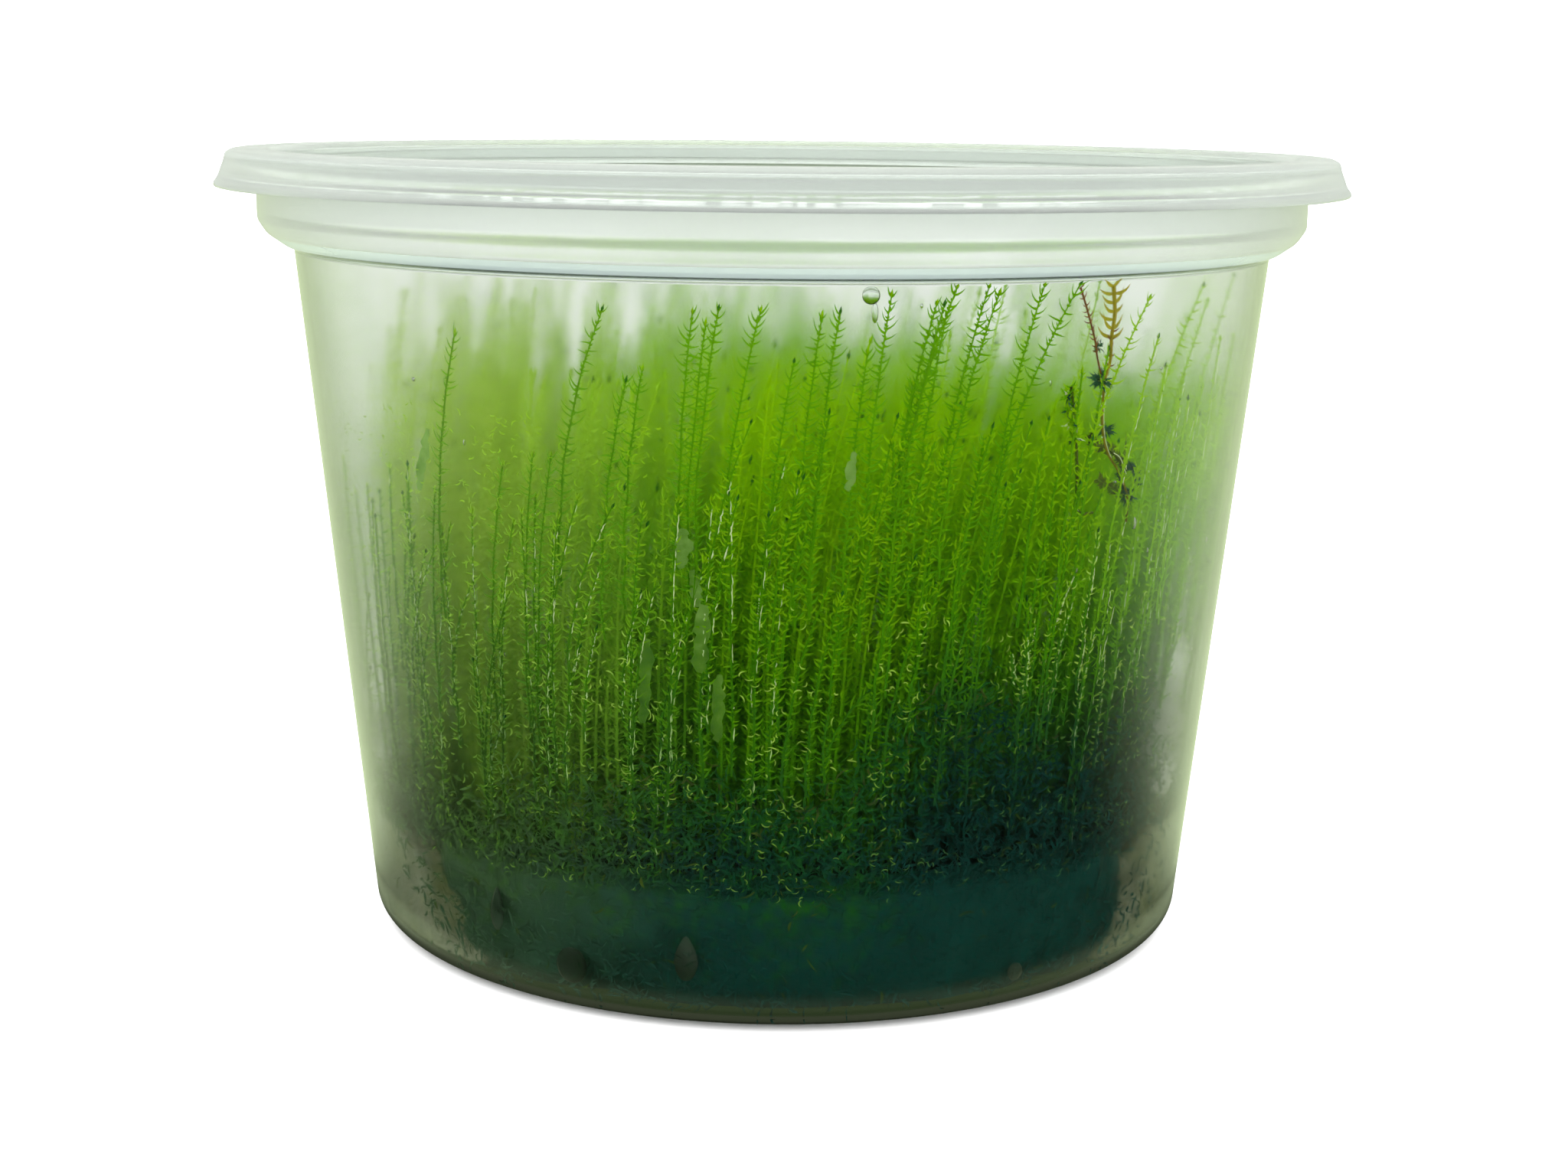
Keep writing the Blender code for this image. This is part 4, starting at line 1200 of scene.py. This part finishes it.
def add_ring_clump(batch, centre, radius, slot, rng):
    """Leaves curled into a small ring that faces the wall."""
    outward = unit(centre * np.array([1.0, 1.0, 0.0]))
    side = np.array([-outward[1], outward[0], 0.0])
    up = np.array([0.0, 0.0, 1.0])
    for _ in range(190):
        angle = rng.uniform(-0.6, 4.4)
        spot = centre + (side * math.cos(angle) + up * math.sin(angle)) * radius * rng.uniform(0.75, 1.1)
        way = unit(-side * math.sin(angle) + up * math.cos(angle) + rng.normal(size=3) * 0.4)
        out = unit(side * math.cos(angle) + up * math.sin(angle) + rng.normal(size=3) * 0.5)
        curved_leaf(spot, way, out, radius * 0.6, radius * 0.28, batch, slot)


OLD_LOOKS = (yellow_look, red_look, clump_look, film_highlight_look, wall_leaf_look, wall_stem_look, thread_look)


def build_old_stem():
    """The leafy yellow top, its thin orange foot, then the clumped green stretch below."""
    rng = np.random.default_rng(31)
    path = smooth_route(OLD_STEM, STEM_WALL_OFFSET)
    turn = int(len(path) * 0.42)
    top, rest = path[:turn + 1], path[turn:]
    batch = Batch()
    batch.add(*tube_mesh(top, np.linspace(0.20, 0.13, len(top)) * MM), 0)
    batch.add(*tube_mesh(rest, np.linspace(0.13, 0.10, len(rest)) * MM), 0)
    add_big_leaves(batch, top, 0.75 * MM, 1.9 * MM, 0.34 * MM, 0, rng, 0.0, 0.6)
    add_big_leaves(batch, top, 0.8 * MM, 0.7 * MM, 0.16 * MM, 1, rng, 0.5, 1.0)
    add_big_leaves(batch, rest, 0.9 * MM, 0.6 * MM, 0.14 * MM, 3, rng, 0.0, 0.4)
    add_clump(batch, on_wall(-52.6, 61.4 * MM, 1.1 * MM), 0.75 * MM, 46, 2, rng)
    add_clump(batch, on_wall(-50.9, 56.7 * MM, 1.1 * MM), 0.60 * MM, 36, 2, rng)
    arc = smooth_route(OLD_LEAF_ARC, 1.0 * MM)
    batch.add(*tube_mesh(arc, np.linspace(0.10, 0.30, len(arc)) * MM), 6)
    add_big_leaves(batch, arc, 0.22 * MM, 0.8 * MM, 0.30 * MM, 6, rng)
    add_big_leaves(batch, arc, 0.40 * MM, 1.0 * MM, 0.28 * MM, 4, rng, 0.0, 0.9)
    spike = smooth_route(((-47.6, 53.6), (-47.5, 54.9), (-47.7, 56.1)), 1.0 * MM)
    batch.add(*ribbons(spike[None], np.array([0.40 * MM]), np.linspace(1.0, 0.1, len(spike))), 6)
    low_leaf = smooth_route(((-51.4, 52.0), (-49.6, 51.2), (-47.4, 50.4)), 1.0 * MM)
    add_big_leaves(batch, low_leaf, 0.24 * MM, 0.8 * MM, 0.28 * MM, 6, rng)
    add_ring_clump(batch, on_wall(-45.9, 51.6 * MM, 1.2 * MM), 1.05 * MM, 2, rng)
    add_clump(batch, on_wall(-45.8, 50.0 * MM, 1.2 * MM), 0.70 * MM, 44, 2, rng)
    # Painted highlights: thin strips in the bright film colour along the stem
    film = smooth_route(((-50.2, 54.5), (-49.0, 53.9), (-47.7, 52.3)), 0.4 * MM)
    batch.add(*ribbons(film[None], np.array([0.09 * MM]), np.ones(len(film))), 3)
    half = rest[:len(rest) // 2]
    line = half + outward_of(half) * 0.2 * MM
    batch.add(*ribbons(line[None], np.array([0.07 * MM]), np.ones(len(line))), 3)
    finish_piece(batch.make("leafy_old_stem", OLD_LOOKS), "yellow_stem", "old_stem")


def build_old_branch():
    """The thin red-brown branch with sparse short leaves and a small dark clump."""
    rng = np.random.default_rng(33)
    path = smooth_route(OLD_STEM_BRANCH + ((-53.0, 62.0),), STEM_WALL_OFFSET)
    batch = Batch()
    batch.add(*tube_mesh(path, np.linspace(0.10, 0.09, len(path)) * MM), 1)
    add_big_leaves(batch, path, 0.6 * MM, 0.7 * MM, 0.13 * MM, 1, rng, 0.0, 0.8)
    add_clump(batch, on_wall(-53.5, 64.6 * MM, 1.1 * MM), 0.45 * MM, 26, 2, rng)
    finish_piece(batch.make("thin_old_branch", OLD_LOOKS), "yellow_stem", "old_stem_branch")


def build_hooked_stem():
    """A leafy green top on a bare stem that ends in a hook."""
    rng = np.random.default_rng(35)
    path = smooth_route(HOOKED_STEM, STEM_WALL_OFFSET)
    batch = Batch()
    batch.add(*tube_mesh(path, np.linspace(0.17, 0.13, len(path)) * MM), 6)
    add_big_leaves(batch, path, 0.26 * MM, 1.0 * MM, 0.26 * MM, 4, rng, 0.0, 0.45)
    add_big_leaves(batch, path, 0.60 * MM, 0.8 * MM, 0.20 * MM, 5, rng, 0.0, 0.45)
    for place in ((-57.5, 60.2), (-57.0, 58.9), (-56.5, 57.6), (-56.2, 56.3)):
        centre = on_wall(place[0], place[1] * MM, 0.7 * MM)
        # The few leaves in slot 3 take the bright film colour, a painted highlight
        for count, slot in ((18, 4), (12, 5), (3, 3), (4, 2)):
            add_clump(batch, centre, 0.60 * MM, count, slot, rng)
    # Painted highlight: a thin bright line along the stem
    line = path[24:38] + outward_of(path[24:38]) * 0.25 * MM - np.array([0.16 * MM, 0.0, 0.0])
    batch.add(*ribbons(line[None], np.array([0.05 * MM]), np.ones(len(line))), 3)
    finish_piece(batch.make("bent_green_stem", OLD_LOOKS), "green_stem", "hooked_stem")


# Water

def drop_mesh(centre, outward, width, height, depth, tail=0.0):
    """A drop that sits on the wall. tail draws its upper end out to a point."""
    rings, sides = (9, 16) if height > 0.4 * MM else (6, 10)
    side = np.array([-outward[1], outward[0], 0.0])
    up = np.cross(side, outward) * -1.0
    points = []
    for i in range(rings + 1):
        latitude = math.pi * i / rings
        for j in range(sides):
            angle = math.tau * j / sides
            u = math.sin(latitude) * math.cos(angle)
            v = math.cos(latitude)
            w = math.sin(latitude) * math.sin(angle)
            narrow = 1.0 - tail * max(v, 0.0)
            points.append(centre + side * width * u * narrow + up * height * v * (1 + tail) - outward * depth * w)
    index = np.arange((rings + 1) * sides).reshape(rings + 1, sides)
    low, high = index[:-1], index[1:]
    low_next, high_next = np.roll(low, -1, axis=1), np.roll(high, -1, axis=1)
    first = np.stack([low, high_next, high], axis=-1).reshape(-1, 3)
    second = np.stack([low, low_next, high_next], axis=-1).reshape(-1, 3)
    return np.array(points), np.concatenate([first, second])


def add_drop(batch, angle_deg, height, width, tall, depth, tail=0.0, inset=0.12, slot=0):
    """A clear drop at (degrees, mm) on the wall."""
    centre = on_wall(angle_deg, height * MM, (inset + depth) * MM)
    outward = unit(centre * np.array([1.0, 1.0, 0.0]))
    batch.add(*drop_mesh(centre, outward, width * MM, tall * MM, depth * MM, tail), slot)


def build_water():
    """Drops on the wall, bubbles against it low down, and the line of condensation under the lid, which is made white
    as a painted highlight.
    """
    rng = np.random.default_rng(41)
    batch = Batch()
    add_drop(batch, -80.9, 69.7, 0.8, 0.8, 0.3)
    add_drop(batch, -80.5, 68.2, 0.3, 0.9, 0.12)
    add_drop(batch, -45.5, 47.4, 0.35, 0.6, 0.15)
    add_drop(batch, -116.7, 4.6, 1.7, 1.8, 0.4, slot=2)
    add_drop(batch, -101.0, 6.8, 1.2, 1.5, 0.4, tail=0.5, slot=2)
    add_drop(batch, -128.1, 8.8, 0.9, 1.4, 0.3, tail=0.6, slot=2)
    add_drop(batch, -57.2, 3.6, 0.9, 0.9, 0.3, slot=2)
    for _ in range(40):
        add_drop(batch, rng.uniform(0, 360), rng.uniform(30, 69), *rng.uniform(0.12, 0.3, 2), 0.08)
    # Condensation beads under the lid, in the white material that is a painted highlight
    ring_r = BAND_R + 1.0 * MM
    angle = 0.0
    while angle < 360.0:
        length = rng.uniform(0.25, 1.5)
        gap = rng.exponential(0.5) + (0.0 if -112 < angle - 360 < -62 else rng.exponential(2.5))
        angle += math.degrees((length + gap) * MM / ring_r)
        turn = math.radians(angle)
        outward = np.array([math.cos(turn), math.sin(turn), 0.0])
        centre = outward * ring_r + np.array([0.0, 0.0, (77.4 + rng.uniform(-0.1, 0.15)) * MM])
        batch.add(*drop_mesh(centre, outward, length * MM, rng.uniform(0.12, 0.22) * MM, 0.26 * MM), 1)
    piece = batch.make("water_drops", (water_look, bead_glint_look, bubble_look), smooth=True)
    finish_piece(piece, "gel")


# Light, floor and camera

def ray_count(nodes, links, name):
    """1 once a ray has that kind of bounce behind it."""
    path = add_node(nodes, "ShaderNodeLightPath")
    return maths(nodes, links, "GREATER_THAN", path.outputs[name], 0.5)


def build_stage():
    """A wide pale floor. Seen or mirrored through the plastic it glows evenly, but under the cup its glow is cut to a
    painted shadow, tinted green.
    """
    size = 6.0
    mesh = bpy.data.meshes.new("floor")
    mesh.from_pydata([(-size, -size, 0.0), (size, -size, 0.0), (size, size, 0.0), (-size, size, 0.0)], [],
                     [(0, 1, 2, 3)])
    floor = bpy.data.objects.new("floor", mesh)
    floor.location.z = -0.0002
    bpy.context.scene.collection.objects.link(floor)
    material, nodes, links = new_material("pale_floor")
    place = add_node(nodes, "ShaderNodeTexCoord")
    distance = add_node(nodes, "ShaderNodeVectorMath", operation="LENGTH")
    links.new(place.outputs["Object"], distance.inputs[0])
    toward = add_node(nodes, "ShaderNodeVectorMath", operation="NORMALIZE")
    links.new(place.outputs["Object"], toward.inputs[0])
    split = add_node(nodes, "ShaderNodeSeparateXYZ")
    links.new(toward.outputs["Vector"], split.inputs["Vector"])
    mirrored = map_range(nodes, links, split.outputs["Y"], DIM_FROM_Y, BRIGHT_FROM_Y, 0.01, MIRRORED_FLOOR, smooth=True)
    close = map_range(nodes, links, distance.outputs["Value"], 0.046, 0.050, 1.0, 0.0)
    mirrored = maths(nodes, links, "MAXIMUM", mirrored, close)
    glow = add_node(nodes, "ShaderNodeMix", data_type="FLOAT")
    links.new(ray_count(nodes, links, "Glossy Depth"), glow.inputs["Factor"])
    glow.inputs["A"].default_value = FLOOR_GLOW
    links.new(mirrored, glow.inputs["B"])
    # Painted shadow: the glow falls away under the cup, towards the FLOOR_SHADE green
    outside_painted_shadow = map_range(nodes, links, distance.outputs["Value"], 0.0425, 0.0520, 0.05, 1.0, smooth=True)
    boost = map_range(nodes, links, ray_count(nodes, links, "Diffuse Depth"), 0.0, 1.0, 1.0, 1.6)
    strength = maths(nodes, links, "MULTIPLY", maths(nodes, links, "MULTIPLY", glow.outputs["Result"], outside_painted_shadow), boost)
    steady = add_node(nodes, "ShaderNodeEmission")
    links.new(strength, steady.inputs["Strength"])
    shade = colour_ramp(nodes, links, outside_painted_shadow, ((0.05, FLOOR_SHADE), (0.6, (1.0, 1.0, 1.0))))
    tint = add_node(nodes, "ShaderNodeMix", data_type="RGBA")
    links.new(ray_count(nodes, links, "Glossy Depth"), tint.inputs["Factor"])
    links.new(shade, tint.inputs["A"])
    tint.inputs["B"].default_value = (*MIRRORED_FLOOR_TINT, 1.0)
    links.new(tint.outputs["Result"], steady.inputs["Color"])
    pale = add_node(nodes, "ShaderNodeBsdfDiffuse")
    pale.inputs["Color"].default_value = (0.85, 0.85, 0.85, 1.0)
    mix = add_node(nodes, "ShaderNodeMixShader")
    links.new(ray_count(nodes, links, "Is Camera Ray"), mix.inputs["Fac"])
    links.new(steady.outputs["Emission"], mix.inputs[1])
    links.new(pale.outputs["BSDF"], mix.inputs[2])
    set_output(nodes, links, mix.outputs["Shader"])
    material.cycles.emission_sampling = "NONE"
    mesh.materials.append(material)


def build_world():
    """A soft pale dome, brighter overhead and towards the back. The wall mirrors little of its front."""
    world = bpy.data.worlds.new("surround")
    bpy.context.scene.world = world
    world.use_nodes = True
    # The wall bends all light on its way in, so rays aimed straight at the dome or the floor would be wasted
    world.cycles.sampling_method = "NONE"
    nodes, links = world.node_tree.nodes, world.node_tree.links
    nodes.clear()
    place = add_node(nodes, "ShaderNodeTexCoord")
    toward = add_node(nodes, "ShaderNodeVectorMath", operation="DOT_PRODUCT")
    links.new(place.outputs["Generated"], toward.inputs[0])
    toward.inputs[1].default_value = Vector((0.0, 0.5, 0.87))
    seen = map_range(nodes, links, toward.outputs["Value"], -0.6, 1.0, SEEN_FRONT, SEEN_TOP)
    split = add_node(nodes, "ShaderNodeSeparateXYZ")
    links.new(place.outputs["Generated"], split.inputs["Vector"])
    mirrored = map_range(nodes, links, split.outputs["Y"], DIM_FROM_Y, BRIGHT_FROM_Y, 0.01, MIRRORED_BACK, smooth=True)
    pick = add_node(nodes, "ShaderNodeMix", data_type="FLOAT")
    links.new(ray_count(nodes, links, "Glossy Depth"), pick.inputs["Factor"])
    links.new(seen, pick.inputs["A"])
    links.new(mirrored, pick.inputs["B"])
    boost = map_range(nodes, links, ray_count(nodes, links, "Diffuse Depth"), 0.0, 1.0, 1.0, MOSS_LIGHT)
    back = add_node(nodes, "ShaderNodeBackground")
    tint = add_node(nodes, "ShaderNodeMix", data_type="RGBA")
    links.new(ray_count(nodes, links, "Glossy Depth"), tint.inputs["Factor"])
    tint.inputs["A"].default_value = (1.0, 1.0, 1.0, 1.0)
    tint.inputs["B"].default_value = (*MIRRORED_TINT, 1.0)
    links.new(tint.outputs["Result"], back.inputs["Color"])
    links.new(maths(nodes, links, "MULTIPLY", pick.outputs["Result"], boost), back.inputs["Strength"])
    output = add_node(nodes, "ShaderNodeOutputWorld")
    links.new(back.outputs["Background"], output.inputs["Surface"])


def build_camera():
    pitch = math.radians(CAMERA_PITCH_DEG)
    roll = math.radians(CAMERA_ROLL_DEG)
    ahead = Vector((0.0, math.cos(pitch), -math.sin(pitch)))
    level_up = Vector((0.0, math.sin(pitch), math.cos(pitch)))
    level_right = Vector((1.0, 0.0, 0.0))
    right = level_right * math.cos(roll) + level_up * math.sin(roll)
    up = level_up * math.cos(roll) - level_right * math.sin(roll)
    data = bpy.data.cameras.new("camera")
    data.sensor_width = SENSOR_MM
    data.lens = FOCAL_PX / PHOTO_WIDTH_PX * SENSOR_MM
    data.clip_start = 0.01
    data.clip_end = 20.0
    camera = bpy.data.objects.new("camera", data)
    turn = Matrix((right, up, -ahead)).transposed()
    camera.matrix_world = Matrix.Translation(CAMERA_PLACE) @ turn.to_4x4()
    bpy.context.scene.collection.objects.link(camera)
    bpy.context.scene.camera = camera


def main():
    scene = bpy.context.scene
    scene.view_settings.view_transform = "Standard"
    scene.cycles.max_bounces = 8
    scene.cycles.diffuse_bounces = 2
    build_camera()
    build_world()
    build_stage()
    build_cup()
    build_lid()
    build_gel()
    build_mat()
    build_tufts()
    build_old_stem()
    build_old_branch()
    build_hooked_stem()
    build_water()


main()
